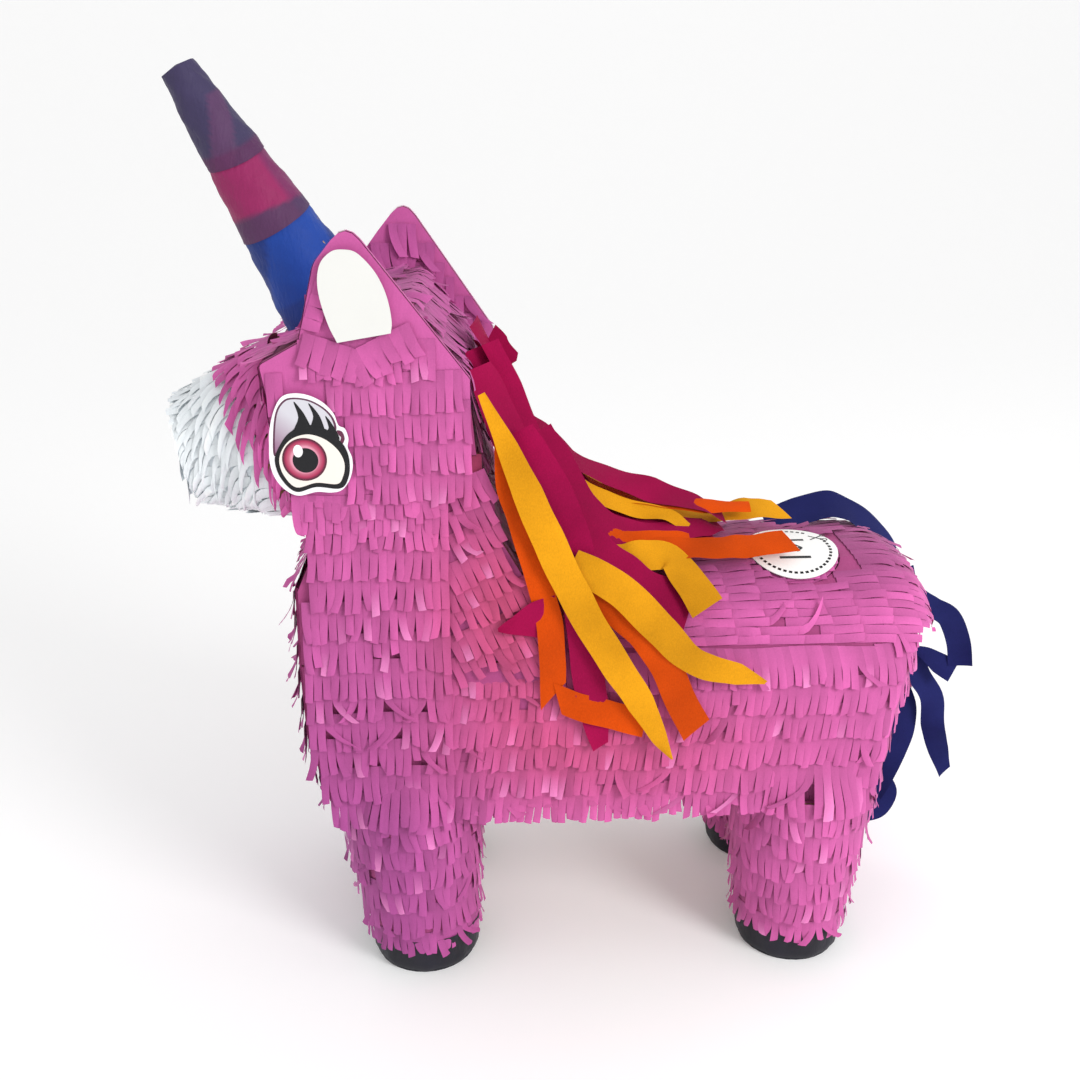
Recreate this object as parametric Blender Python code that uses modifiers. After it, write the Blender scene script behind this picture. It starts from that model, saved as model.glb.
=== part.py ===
"""A standing unicorn pinata: card carcass, tissue fringe, horn, streamers and a fill flap.

Metres, +Z up. The nose points to -X, so the animal's left side faces -Y.
The carcass stands on four hoof cups. Every panel is flat or bent card of one thickness.
"""

from math import atan2, cos, degrees, pi, radians, sin, tan

import bmesh
import bpy
from mathutils import Matrix, Vector

# Stock and fits
CARD = 0.003
TISSUE = 0.0024
PAPER = 0.0006
CREPE = 0.0008
GAP = 0.0003
SEAT_GAP = 0.0012
RUNNING_GAP = 0.0012

# Legs and hooves
LEG_SPACING = 0.297
HOOF_SPREAD = 0.0684
HOOF_RADIUS = 0.0395
HOOF_HEIGHT = 0.032
HOOF_PAPER = 0.0015
LEG_HEIGHT = 0.152
FRONT_LEG_TOP_RADIUS = 0.054
REAR_LEG_TOP_RADIUS = 0.0555
LEG_TOP_SPREAD = 0.0625
FRONT_LEG_RAKE = -0.0095
REAR_LEG_RAKE = 0.0035

# Body barrel: flat sides up to the shoulder, then a squared arch
BODY_HALF_WIDTH = 0.106
FLANK_HEIGHT = 0.073
ARCH_RISE = 0.097
ARCH_SQUARENESS = 2.4
BELLY_SQUARENESS = 7.0
BACK_FRONT_REACH = 0.094
BACK_REAR_REACH = 0.0415
RUMP_REACH = 0.055
RUMP_ROUNDING = 0.05
RUMP_LEAN = 0.27
RUMP_COLLAR = 0.004
RUMP_FRINGE_WRAP = radians(30)

# Neck and head, measured from the front leg line and the neck score
NECK_SCORE_RISE = 0.0445
NECK_NARROWING = 0.0175
NECK_TOP_HALF_WIDTH = BODY_HALF_WIDTH - NECK_NARROWING
NECK_PANEL_HEIGHT = 0.1505
HEAD_NARROWING = 0.010
HEAD_HALF_WIDTH = BODY_HALF_WIDTH - HEAD_NARROWING
HEAD_FACE_HEIGHT = 0.090
EAR_HEIGHT = 0.088
FACE_TILT = radians(10)
HORN_LEAN = radians(30)
EAR_ROUNDING = 0.012
RIGHT_EAR_LEAN = 0.026
RIGHT_HEAD_FIN = 0.018

# Muzzle and horn
MUZZLE_LENGTH = 0.082
MUZZLE_ROOT_RADIUS = 0.069
MUZZLE_END_RADIUS = 0.037
MUZZLE_FRINGE_START = 0.022
HORN_LENGTH = 0.186
HORN_ROOT_RADIUS = 0.0345
HORN_TIP_RADIUS = 0.010
HORN_SEAT = 0.0435
BLUE_WRAP_TOP = 0.42
MAGENTA_WRAP_FOOT = 0.36
MAGENTA_WRAP_TOP = 0.70
VIOLET_WRAP_FOOT = 0.62

# Fill flap
FILL_REACH = -0.009
FILL_OFFSET = 0.033
FLAP_RADIUS = 0.0355
STICKER_RADIUS = 0.035

# Streamers
RIBBON_WIDTH = 0.021
RIBBON_SMOOTHING = 3
LAYER = 0.0022

LEFT_MANE_HINGE_RISE = 0.035
LEFT_MANE_HINGE_OUT = 0.013
BACK_MANE_HINGE_REACH = -0.0125
BACK_MANE_HINGE_RISE = 0.091
TAIL_HINGE_REACH = 0.003
TAIL_HINGE_DROP = 0.035

LEFT = -1
RIGHT = 1

# Levels and stations that follow from the sizes above
FRONT_X = -LEG_SPACING / 2
REAR_X = LEG_SPACING / 2
BELLY_Z = LEG_HEIGHT
SHOULDER_Z = BELLY_Z + FLANK_HEIGHT
BACK_Z = SHOULDER_Z + ARCH_RISE
SCORE_Z = SHOULDER_Z + NECK_SCORE_RISE
HEAD_Z = SCORE_Z + NECK_PANEL_HEIGHT - 0.030
FACE_TOP_Z = HEAD_Z + HEAD_FACE_HEIGHT + 0.005
BACK_FRONT_X = FRONT_X + BACK_FRONT_REACH
BACK_REAR_X = REAR_X + BACK_REAR_REACH
NECK_TILT = atan2(BODY_HALF_WIDTH - NECK_TOP_HALF_WIDTH, NECK_PANEL_HEIGHT)
CREST_X = BACK_FRONT_X - CARD - GAP
SKIN = GAP + TISSUE
FILL_X = REAR_X + FILL_REACH


# Scene helpers


def clear_scene():
    for thing in list(bpy.data.objects):
        bpy.data.objects.remove(thing, do_unlink=True)


def new_collection(name, hidden=False):
    group = bpy.data.collections.new(name)
    bpy.context.scene.collection.children.link(group)
    group.hide_render = hidden
    return group


def new_material(name, colour, roughness, metallic=0.0):
    paint = bpy.data.materials.new(name)
    paint.use_nodes = True
    shader = paint.node_tree.nodes["Principled BSDF"]
    shader.inputs["Base Color"].default_value = (*colour, 1.0)
    shader.inputs["Roughness"].default_value = roughness
    shader.inputs["Metallic"].default_value = metallic
    paint.diffuse_color = (*colour, 1.0)
    return paint


def place(thing, material):
    """Links a finished part, gives it its material and hangs it on the frame empty."""
    PARTS.objects.link(thing)
    thing.data.materials.clear()
    thing.data.materials.append(material)
    thing.parent = FRAME
    return thing


def object_of(name, work, material, smooth=True):
    """A bmesh as a placed object."""
    mesh = bpy.data.meshes.new(name)
    work.to_mesh(mesh)
    work.free()
    for face in mesh.polygons:
        face.use_smooth = smooth
    return place(bpy.data.objects.new(name, mesh), material)


def face_away_from(work, inside):
    """Turns an open surface so that its faces look away from a point."""
    work.normal_update()
    looking = 0.0
    for face in work.faces:
        away = face.calc_center_median() - Vector(inside)
        looking += face.normal.dot(away) * face.calc_area()
    if looking < 0:
        bmesh.ops.reverse_faces(work, faces=work.faces[:])


def thicken(thing, thickness, outwards=False):
    shell = thing.modifiers.new("thickness", "SOLIDIFY")
    shell.thickness = thickness
    shell.offset = 1.0 if outwards else -1.0
    shell.use_even_offset = True
    return thing


def sheet(name, rows, thickness, material, inside, closed=False, capped=False, outwards=False):
    """A bent sheet through rows of points, thickened away from or towards its outer face."""
    work = bmesh.new()
    lines = []
    for row in rows:
        lines.append([work.verts.new(point) for point in row])
    count = len(rows[0])
    steps = count if closed else count - 1
    for first, second in zip(lines, lines[1:]):
        for i in range(steps):
            j = (i + 1) % count
            work.faces.new((first[i], first[j], second[j], second[i]))
    if capped:
        work.faces.new(lines[-1])
    bmesh.ops.recalc_face_normals(work, faces=work.faces[:])
    face_away_from(work, inside)
    return thicken(object_of(name, work, material), thickness, outwards)


# Outline helpers


def rounded(corners, steps=4):
    """An outline of (x, z, radius) corners with each corner replaced by an arc."""
    outline = []
    count = len(corners)
    for i, (x, z, radius) in enumerate(corners):
        here = Vector((x, z))
        before = Vector(corners[i - 1][:2]) - here
        after = Vector(corners[(i + 1) % count][:2]) - here
        if radius <= 0:
            outline.append(here)
            continue
        half = before.angle(after) / 2
        reach = min(radius / tan(half), 0.48 * before.length, 0.48 * after.length)
        start = here + before.normalized() * reach
        end = here + after.normalized() * reach
        for step in range(steps + 1):
            t = step / steps
            bend = here * (2 * t * (1 - t))
            outline.append(start * (1 - t) ** 2 + bend + end * t**2)
    return [(point.x, point.y) for point in outline]


def offset_line(line, distance):
    """An open profile moved sideways, to the left of its direction."""
    moved = []
    for i, (x, z) in enumerate(line):
        before = line[max(i - 1, 0)]
        after = line[min(i + 1, len(line) - 1)]
        run = Vector((after[0] - before[0], after[1] - before[1])).normalized()
        moved.append((x - run.y * distance, z + run.x * distance))
    return moved


def smooth_line(points, steps):
    """Catmull-Rom points through a list of points of any dimension."""
    line = [Vector(point) for point in points]
    line = [2 * line[0] - line[1]] + line + [2 * line[-1] - line[-2]]
    smooth = []
    for a, b, c, d in zip(line, line[1:], line[2:], line[3:]):
        for step in range(steps):
            t = step / steps
            tail = (3 * b - a - 3 * c + d) * t**3
            smooth.append((2 * b + (c - a) * t + (2 * a - 5 * b + 4 * c - d) * t**2 + tail) / 2)
    smooth.append(line[-2])
    return smooth


def plate(name, outline, thickness, material, side, outer, tilt=0.0, pivot_z=0.0):
    """A flat card on one side of the animal, its outer face at a distance from the middle."""
    shape = bpy.data.curves.new(name, "CURVE")
    shape.dimensions = "2D"
    shape.fill_mode = "BOTH"
    shape.extrude = thickness / 2
    line = shape.splines.new("POLY")
    line.points.add(len(outline) - 1)
    for point, (x, z) in zip(line.points, outline):
        point.co = (x, (z - pivot_z) / cos(tilt), 0.0, 1.0)
    line.use_cyclic_u = True
    card = place(bpy.data.objects.new(name, shape), material)
    outward = Vector((0.0, side * cos(tilt), sin(tilt)))
    card.location = Vector((0.0, side * outer, pivot_z)) - outward * thickness / 2
    card.rotation_euler = (pi / 2 + side * tilt, 0.0, 0.0)
    return card


def frustum(name, foot, top, root_radius, end_radius, thickness, material, cap="", outwards=True):
    """A tapered tube between two points, open at both ends unless a cap is named."""
    work = bmesh.new()
    length = (Vector(top) - Vector(foot)).length
    bmesh.ops.create_cone(
        work,
        cap_ends=True,
        segments=32,
        radius1=root_radius,
        radius2=end_radius,
        depth=length,
    )
    for face in list(work.faces):
        if len(face.verts) == 32:
            is_top = face.calc_center_median().z > 0
            if not (cap == "top" and is_top) and not (cap == "foot" and not is_top):
                work.faces.remove(face)
    bmesh.ops.translate(work, verts=work.verts[:], vec=(0.0, 0.0, length / 2))
    return thicken(object_of(name, work, material), thickness, outwards)


def stand_on_axis(thing, foot, direction):
    """Turns a tube built along +Z to lie along a direction in the X-Z plane."""
    thing.location = foot
    thing.rotation_euler = (0.0, atan2(direction[0], direction[2]), 0.0)
    return thing


def shear_to(thing, foot, top):
    """Leans a tube built along +Z so that its top centre is over another point."""
    rise = top[2] - foot[2]
    lean = Matrix.Identity(4)
    lean[0][2] = (top[0] - foot[0]) / rise
    lean[1][2] = (top[1] - foot[1]) / rise
    thing.data.transform(lean)
    thing.location = foot
    return thing


# Shapes of the body


def arch_height(y, out=0.0):
    """Height of the back's outer face at a sideways distance, moved out by a layer."""
    reach = min(abs(y) / (BODY_HALF_WIDTH + out), 1.0)
    rise = (1 - reach**ARCH_SQUARENESS) ** (1 / ARCH_SQUARENESS)
    return SHOULDER_Z + (ARCH_RISE + out) * rise


def body_section(inset, out, first, last, steps):
    """Points round the barrel from one angle to another; 0 is the right side, pi the left."""
    section = []
    for step in range(steps + 1):
        angle = first + (last - first) * step / steps
        across = BODY_HALF_WIDTH - inset + out
        if sin(angle) >= 0:
            square = ARCH_SQUARENESS
            up = ARCH_RISE - inset + out
        else:
            square = BELLY_SQUARENESS
            up = -(FLANK_HEIGHT - 0.2 * inset)
        run = abs(cos(angle)) ** (2 / square)
        rise = abs(sin(angle)) ** (2 / square)
        section.append((across * run * (1 if cos(angle) > 0 else -1), SHOULDER_Z + up * rise))
    return section


def chest_profile():
    """Front line of the carcass from the belly to the throat."""
    return [
        (FRONT_X - 0.064, BELLY_Z + 0.0035),
        (FRONT_X - 0.0775, SHOULDER_Z - 0.015),
        (FRONT_X - 0.0795, SCORE_Z),
        (FRONT_X - 0.0795, HEAD_Z - 0.065),
        (FRONT_X - 0.0685, HEAD_Z - 0.040),
        (FRONT_X - 0.0680, HEAD_Z + 0.002),
    ]


def crest_profile():
    """Back line of the neck from the score at the withers up to the head."""
    return [
        (CREST_X, SCORE_Z + GAP),
        (CREST_X, BACK_Z - 0.004),
        (CREST_X - 0.012, BACK_Z + 0.011),
        (FRONT_X + 0.060, BACK_Z + 0.043),
        (FRONT_X + 0.0515, BACK_Z + 0.078),
        (FRONT_X + 0.0485, SCORE_Z + NECK_PANEL_HEIGHT - GAP),
    ]


def face_x(z):
    """The face leans back as it goes up."""
    return FRONT_X - 0.083 - (z - HEAD_Z - 0.028) * tan(FACE_TILT)


def ear_tip(side):
    lean = RIGHT_EAR_LEAN if side == RIGHT else 0.0
    return (FRONT_X - 0.0315 + lean, FACE_TOP_Z + EAR_HEIGHT)


def head_outline(side):
    """Cheek and ear in one card, seen from the side."""
    fin = RIGHT_HEAD_FIN if side == RIGHT else 0.0
    tip_x, tip_z = ear_tip(side)
    return rounded(
        [
            (face_x(HEAD_Z + 0.005), HEAD_Z, 0.004),
            (face_x(FACE_TOP_Z), FACE_TOP_Z, 0.004),
            (FRONT_X - 0.068, FACE_TOP_Z + 0.0145, 0.0),
            (tip_x - 0.0235, tip_z - 0.022, 0.020),
            (tip_x - 0.002, tip_z + 0.004, EAR_ROUNDING),
            (FRONT_X + 0.0443 + fin, FACE_TOP_Z - 0.0108, 0.004),
            (FRONT_X + 0.0430 + fin, HEAD_Z, 0.034),
        ]
    )


def neck_half_width(z):
    """Outer face of the side and neck panels: upright to the score, then leaning in."""
    return BODY_HALF_WIDTH - max(0.0, z - SCORE_Z) * tan(NECK_TILT)


def side_outline(grow=0.0):
    """Body and shoulder card below the score."""
    front = chest_profile()
    return [
        (front[0][0], BELLY_Z + grow),
        front[0],
        front[1],
        (front[2][0], SCORE_Z - GAP),
        (CREST_X, SCORE_Z - GAP),
        (CREST_X, SHOULDER_Z - GAP),
        (BACK_REAR_X, SHOULDER_Z - GAP),
        (BACK_REAR_X, BELLY_Z + grow),
    ]


def neck_outline(top_z):
    """Neck card above the score."""
    front = [point for point in chest_profile()[2:] if point[1] < top_z]
    back = [point for point in reversed(crest_profile()) if point[1] < top_z]
    front[0] = (front[0][0], SCORE_Z + GAP)
    return front + [(front[-1][0], top_z), (back[0][0] - 0.0005, top_z)] + back


# Carcass


def make_side_panels(card):
    for side, word in ((LEFT, "left"), (RIGHT, "right")):
        plate(f"{word}_side_panel", side_outline(), CARD, card, side, BODY_HALF_WIDTH)


def make_neck_panels(card):
    top = SCORE_Z + NECK_PANEL_HEIGHT - GAP
    for side, word in ((LEFT, "left"), (RIGHT, "right")):
        plate(
            f"{word}_neck_panel",
            neck_outline(top),
            CARD,
            card,
            side,
            BODY_HALF_WIDTH,
            NECK_TILT,
            SCORE_Z,
        )


def make_head_panels(card):
    for side, word in ((LEFT, "left"), (RIGHT, "right")):
        plate(f"{word}_head_panel", head_outline(side), CARD, card, side, HEAD_HALF_WIDTH)


def barrel_rows(out, stations):
    rows = []
    for x in stations:
        rows.append([(x, y, z) for y, z in body_section(0.0, out, 0.0, pi, 20)])
    return rows


def cylinder_cutter(name, radius):
    """A cutter through the fill hole, square to the back where it stands."""
    work = bmesh.new()
    bmesh.ops.create_cone(
        work, cap_ends=True, segments=48, radius1=radius, radius2=radius, depth=0.06
    )
    mesh = bpy.data.meshes.new(name)
    work.to_mesh(mesh)
    work.free()
    cutter = bpy.data.objects.new(name, mesh)
    CUTTERS.objects.link(cutter)
    cutter.parent = FRAME
    cutter.location = fill_centre()
    cutter.rotation_euler = (fill_tilt(), 0.0, 0.0)
    cutter.hide_render = True
    cutter.display_type = "WIRE"
    return cutter


def boolean(thing, cutter, operation):
    cut = thing.modifiers.new(operation.lower(), "BOOLEAN")
    cut.operation = operation
    cut.object = cutter
    return thing


def fill_tilt():
    """Slope of the back across the animal, where the fill hole is."""
    step = 0.001
    rise = arch_height(-FILL_OFFSET + step) - arch_height(-FILL_OFFSET - step)
    return atan2(rise, 2 * step)


def fill_centre():
    return Vector((FILL_X, -FILL_OFFSET, arch_height(FILL_OFFSET)))


BARREL_INSIDE = (0.0, 0.0, SHOULDER_Z)


def make_back_panel(card, hole):
    rows = barrel_rows(0.0, (BACK_FRONT_X, BACK_REAR_X))
    panel = sheet("back_panel", rows, CARD, card, BARREL_INSIDE)
    return boolean(panel, hole, "DIFFERENCE")


def rump_rows(out, first=0.0, last=2 * pi):
    """Sections from a straight collar round to the flat of the rump."""
    start = BACK_REAR_X + GAP
    rows = [[(start, y, z) for y, z in body_section(0.0, out, first, last, 32)]]
    for step in range(7):
        angle = step / 6 * pi / 2
        inset = RUMP_ROUNDING * (1 - cos(angle))
        row = []
        for y, z in body_section(inset, out, first, last, 32):
            reach = RUMP_REACH - RUMP_LEAN * (BACK_Z - z) + out - RUMP_COLLAR
            row.append((start + RUMP_COLLAR + reach * sin(angle), y, z))
        rows.append(row)
    return rows


def make_rump_panel(card):
    inside = (BACK_REAR_X, 0.0, SHOULDER_Z)
    rows = [row[:-1] for row in rump_rows(0.0)]
    return sheet("rump_panel", rows, CARD, card, inside, closed=True, capped=True)


def make_belly_panel(card):
    shape = bpy.data.curves.new("belly_panel", "CURVE")
    shape.dimensions = "2D"
    shape.fill_mode = "BOTH"
    shape.extrude = CARD / 2
    across = BODY_HALF_WIDTH - CARD - GAP
    front = chest_profile()[0][0] + 0.0005
    corners = ((front, -across), (BACK_REAR_X, -across), (BACK_REAR_X, across), (front, across))
    line = shape.splines.new("POLY")
    line.points.add(len(corners) - 1)
    for point, (x, y) in zip(line.points, corners):
        point.co = (x, y, 0.0, 1.0)
    line.use_cyclic_u = True
    panel = place(bpy.data.objects.new("belly_panel", shape), card)
    panel.location = (0.0, 0.0, BELLY_Z + CARD / 2)
    return panel


def strip_rows(profile, half_width):
    return [[(x, -half_width(z), z), (x, half_width(z), z)] for x, z in profile]


def between_panels(z):
    """Room between the side or neck panels."""
    lean = CARD / cos(NECK_TILT) if z > SCORE_Z else CARD
    return neck_half_width(z) - lean - GAP


def make_chest_panel(card):
    rows = strip_rows(chest_profile(), between_panels)
    return sheet("chest_panel", rows, CARD, card, (FRONT_X, 0.0, SCORE_Z))


def make_crest_panel(card):
    rows = strip_rows(crest_profile(), between_panels)
    return sheet("crest_panel", rows, CARD, card, (FRONT_X, 0.0, SCORE_Z + 0.06))


def head_top_profile():
    """Face, forehead, poll and the slope behind the ears."""
    brow = (face_x(FACE_TOP_Z), FACE_TOP_Z)
    poll_x = FRONT_X - 0.0315
    poll_z = brow[1] + (poll_x - brow[0]) * tan(HORN_LEAN)
    low = HEAD_Z + 0.005
    return [
        (face_x(low), low),
        brow,
        (poll_x, poll_z),
        (FRONT_X + 0.0065, poll_z),
        (FRONT_X + 0.0425, FACE_TOP_Z - 0.0108),
        (FRONT_X + 0.0475, SCORE_Z + NECK_PANEL_HEIGHT + GAP),
    ]


def make_head_top_panel(card):
    across = HEAD_HALF_WIDTH - CARD - GAP
    rows = strip_rows(head_top_profile(), lambda z: across)
    return sheet("head_top_panel", rows, CARD, card, (FRONT_X - 0.02, 0.0, HEAD_Z + 0.06))


def muzzle_root():
    z = HEAD_Z + 0.028
    outward = Vector((-cos(FACE_TILT), 0.0, -sin(FACE_TILT)))
    return Vector((face_x(z), 0.0, z)) + outward * SEAT_GAP, outward


def muzzle_part(name, start, grow, thickness, material, cap_gap):
    """A length of the snout, from a distance along it to its closed end."""
    foot, outward = muzzle_root()
    taper = (MUZZLE_ROOT_RADIUS - MUZZLE_END_RADIUS) / MUZZLE_LENGTH
    top = foot + outward * (MUZZLE_LENGTH + cap_gap)
    tube = frustum(
        name,
        foot + outward * start,
        top,
        MUZZLE_ROOT_RADIUS - taper * start + grow,
        MUZZLE_END_RADIUS + grow,
        thickness,
        material,
        cap="top",
        outwards=False,
    )
    return stand_on_axis(tube, foot + outward * start, outward)


def make_muzzle_tube(card):
    return muzzle_part("muzzle_tube", 0.0, 0.0, CARD, card, 0.0)


# Legs


def leg_line(place_x, rake, side):
    foot = Vector((place_x, side * HOOF_SPREAD, HOOF_PAPER + GAP))
    top = Vector((place_x + rake, side * LEG_TOP_SPREAD, BELLY_Z - SEAT_GAP))
    return foot, top


def leg_radius(top_radius, foot, top, z):
    """Outer radius of a leg tube at a height."""
    start = HOOF_RADIUS - HOOF_PAPER - GAP
    return start + (top_radius - start) * (z - foot.z) / (top.z - foot.z)


def make_leg(word, place_x, rake, top_radius, side, card, black, pink):
    foot, top = leg_line(place_x, rake, side)
    start = leg_radius(top_radius, foot, top, foot.z)
    tube = frustum(f"{word}_leg_tube", foot, (foot.x, foot.y, top.z), start, top_radius,
                   CARD, card, outwards=False)
    shear_to(tube, foot, top)

    floor = Vector((foot.x, foot.y, 0.0))
    rim_z = HOOF_HEIGHT
    rim = floor + (top - foot) * (rim_z / (top.z - foot.z))
    rim.z = rim_z
    rim_radius = leg_radius(top_radius, foot, top, rim_z) + GAP + HOOF_PAPER
    cup = frustum(f"{word}_hoof_cup", floor, (floor.x, floor.y, rim_z), HOOF_RADIUS, rim_radius,
                  HOOF_PAPER, black, cap="foot", outwards=False)
    shear_to(cup, floor, rim)

    low_z = HOOF_HEIGHT + 0.001
    high_z = top.z - 0.002
    along = (top - foot) / (top.z - foot.z)
    low = foot + along * (low_z - foot.z)
    high = foot + along * (high_z - foot.z)
    skin = frustum(
        f"{word}_leg_fringe",
        low,
        (low.x, low.y, high_z),
        leg_radius(top_radius, foot, top, low_z) + GAP,
        leg_radius(top_radius, foot, top, high_z) + GAP,
        TISSUE,
        pink,
    )
    shear_to(skin, low, high)


def make_legs(card, black, pink):
    for side, hand in ((LEFT, "left"), (RIGHT, "right")):
        make_leg(f"{hand}_front", FRONT_X, FRONT_LEG_RAKE, FRONT_LEG_TOP_RADIUS, side,
                 card, black, pink)
        make_leg(f"{hand}_rear", REAR_X, REAR_LEG_RAKE, REAR_LEG_TOP_RADIUS, side,
                 card, black, pink)


# Horn


def horn_seat():
    """Middle of the horn's foot on the forehead, and the way it points."""
    brow = head_top_profile()[1]
    x = brow[0] + HORN_SEAT * cos(HORN_LEAN)
    z = brow[1] + HORN_SEAT * sin(HORN_LEAN)
    direction = Vector((-sin(HORN_LEAN), 0.0, cos(HORN_LEAN)))
    return Vector((x, 0.0, z)) + direction * SEAT_GAP, direction


def horn_part(name, start, end, grow, thickness, material, cap=""):
    """A length of the horn between two shares of its height, moved out by a layer."""
    seat, direction = horn_seat()
    taper = HORN_ROOT_RADIUS - HORN_TIP_RADIUS
    foot = seat + direction * (HORN_LENGTH * start + (0.0 if start == 0 else GAP))
    top = seat + direction * (HORN_LENGTH * end + (grow if cap else 0.0))
    tube = frustum(
        name,
        foot,
        top,
        HORN_ROOT_RADIUS - taper * start + grow,
        HORN_ROOT_RADIUS - taper * end + grow,
        thickness,
        material,
        cap=cap,
        outwards=thickness != CARD,
    )
    return stand_on_axis(tube, foot, direction)


def make_horn(card, blue, magenta, violet):
    layer = GAP + PAPER
    horn_part("horn_core", 0.0, 1.0, 0.0, CARD, card, cap="top")
    horn_part("horn_blue_wrap", 0.0, BLUE_WRAP_TOP, GAP, PAPER, blue)
    horn_part("horn_magenta_wrap", MAGENTA_WRAP_FOOT, MAGENTA_WRAP_TOP, GAP + layer, PAPER, magenta)
    horn_part("horn_violet_wrap", VIOLET_WRAP_FOOT, 1.0, GAP + 2 * layer, PAPER, violet, cap="top")


# Tissue skins


def make_side_fringe(pink):
    for side, word in ((LEFT, "left"), (RIGHT, "right")):
        outer = BODY_HALF_WIDTH + SKIN
        plate(f"{word}_side_fringe", side_outline(0.003), TISSUE, pink, side, outer)


def make_neck_fringe(pink):
    top = HEAD_Z - 0.001
    for side, word in ((LEFT, "left"), (RIGHT, "right")):
        outline = neck_outline(top)
        outline[0] = (outline[0][0], SCORE_Z + 0.0015)
        outline[-1] = (outline[-1][0], SCORE_Z + 0.0015)
        outer = BODY_HALF_WIDTH + SKIN / cos(NECK_TILT)
        plate(f"{word}_neck_fringe", outline, TISSUE, pink, side, outer, NECK_TILT, SCORE_Z)


def make_head_fringe(pink):
    for side, word in ((LEFT, "left"), (RIGHT, "right")):
        outer = HEAD_HALF_WIDTH + SKIN
        plate(f"{word}_head_fringe", head_outline(side), TISSUE, pink, side, outer)


def make_back_fringe(pink, hole):
    rows = barrel_rows(GAP, (BACK_FRONT_X + GAP, BACK_REAR_X))
    skin = sheet("back_fringe", rows, TISSUE, pink, BARREL_INSIDE, outwards=True)
    return boolean(skin, hole, "DIFFERENCE")


def make_rump_fringe(pink):
    inside = (BACK_REAR_X, 0.0, SHOULDER_Z)
    rows = rump_rows(2.2 * GAP, -RUMP_FRINGE_WRAP, pi + RUMP_FRINGE_WRAP)
    return sheet("rump_fringe", rows, TISSUE, pink, inside, capped=True, outwards=True)


def make_chest_fringe(pink):
    line = offset_line(chest_profile()[:4], GAP)
    rows = strip_rows(line, between_panels)
    return sheet("chest_fringe", rows, TISSUE, pink, (FRONT_X, 0.0, SCORE_Z), outwards=True)


def make_muzzle_fringe(white):
    grow = GAP + TISSUE
    return muzzle_part("muzzle_fringe", MUZZLE_FRINGE_START, grow, TISSUE, white, grow)


# Fill flap


def back_disc(name, cutter, inner, thickness, material):
    """A disc cut from a layer of the back: inner is its lower face's distance from the card."""
    reach = FLAP_RADIUS + 0.01
    stations = (FILL_X - reach, FILL_X + reach)
    rows = barrel_rows(inner, stations)
    layer = sheet(name, rows, thickness, material, BARREL_INSIDE, outwards=True)
    return boolean(layer, cutter, "INTERSECT")


def make_fill_flap(card, pink, paper):
    flap_cutter = cylinder_cutter("cutter_fill_flap", FLAP_RADIUS)
    sticker_cutter = cylinder_cutter("cutter_fill_sticker", STICKER_RADIUS)
    back_disc("fill_flap", flap_cutter, -CARD, CARD, card)
    back_disc("fill_flap_tissue", flap_cutter, GAP, TISSUE, pink)
    back_disc("fill_sticker", sticker_cutter, SKIN + GAP, PAPER, paper)


# Printed paper


def make_ear_patches(paper):
    outer = HEAD_HALF_WIDTH + SKIN + GAP + PAPER
    for side, word in ((LEFT, "left"), (RIGHT, "right")):
        shift = 0.5 * RIGHT_EAR_LEAN if side == RIGHT else 0.0
        x = FRONT_X + shift
        z = FACE_TOP_Z
        outline = rounded(
            [
                (x - 0.042, z + 0.0132, 0.0),
                (x - 0.054, z + 0.037, 0.010),
                (x - 0.052, z + 0.067, 0.022),
                (x - 0.022, z + 0.080, 0.020),
                (x - 0.009, z + 0.046, 0.020),
                (x - 0.0072, z + 0.0196, 0.0),
            ]
        )
        plate(f"{word}_ear_patch", outline, PAPER, paper, side, outer)


def make_eye_stickers(paper):
    outer = HEAD_HALF_WIDTH + SKIN + GAP + PAPER
    outline = rounded(
        [
            (FRONT_X - 0.0955, HEAD_Z + 0.072, 0.014),
            (FRONT_X - 0.062, HEAD_Z + 0.078, 0.012),
            (FRONT_X - 0.0375, HEAD_Z + 0.047, 0.012),
            (FRONT_X - 0.0365, HEAD_Z + 0.010, 0.012),
            (FRONT_X - 0.045, HEAD_Z + 0.0045, 0.004),
            (FRONT_X - 0.0755, HEAD_Z + 0.0010, 0.004),
            (FRONT_X - 0.0920, HEAD_Z + 0.020, 0.012),
        ]
    )
    for side, word in ((LEFT, "left"), (RIGHT, "right")):
        plate(f"{word}_eye_sticker", outline, PAPER, paper, side, outer)


# Streamers


def ribbon_edges(path, width):
    """Both edges of a flat ribbon along a path in its own plane."""
    line = smooth_line(path, RIBBON_SMOOTHING)
    edges = []
    for i, here in enumerate(line):
        run = line[min(i + 1, len(line) - 1)] - line[max(i - 1, 0)]
        across = Vector((-run.y, run.x)).normalized() * width / 2
        edges.append((here - across, here + across))
    return edges


def side_ribbon(name, path, layer, material, width=RIBBON_WIDTH):
    """A ribbon that lies against the left side, a number of layers off the tissue."""
    out = SKIN + LAYER * layer
    rows = []
    for low, high in ribbon_edges(path, width):
        row = []
        for point in (low, high):
            row.append((point.x, -(neck_half_width(point.y) + out), point.y))
        rows.append(row)
    return sheet(name, rows, CREPE, material, (0.0, 10.0, SHOULDER_Z), outwards=True)


def back_ribbon(name, path, layer, material, width=RIBBON_WIDTH):
    """A ribbon that lies on the back, a number of layers off the tissue."""
    out = SKIN + LAYER * layer
    rows = []
    for low, high in ribbon_edges(path, width):
        rows.append([(point.x, point.y, arch_height(point.y, out)) for point in (low, high)])
    return sheet(name, rows, CREPE, material, (0.0, 0.0, -10.0), outwards=True)


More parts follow.
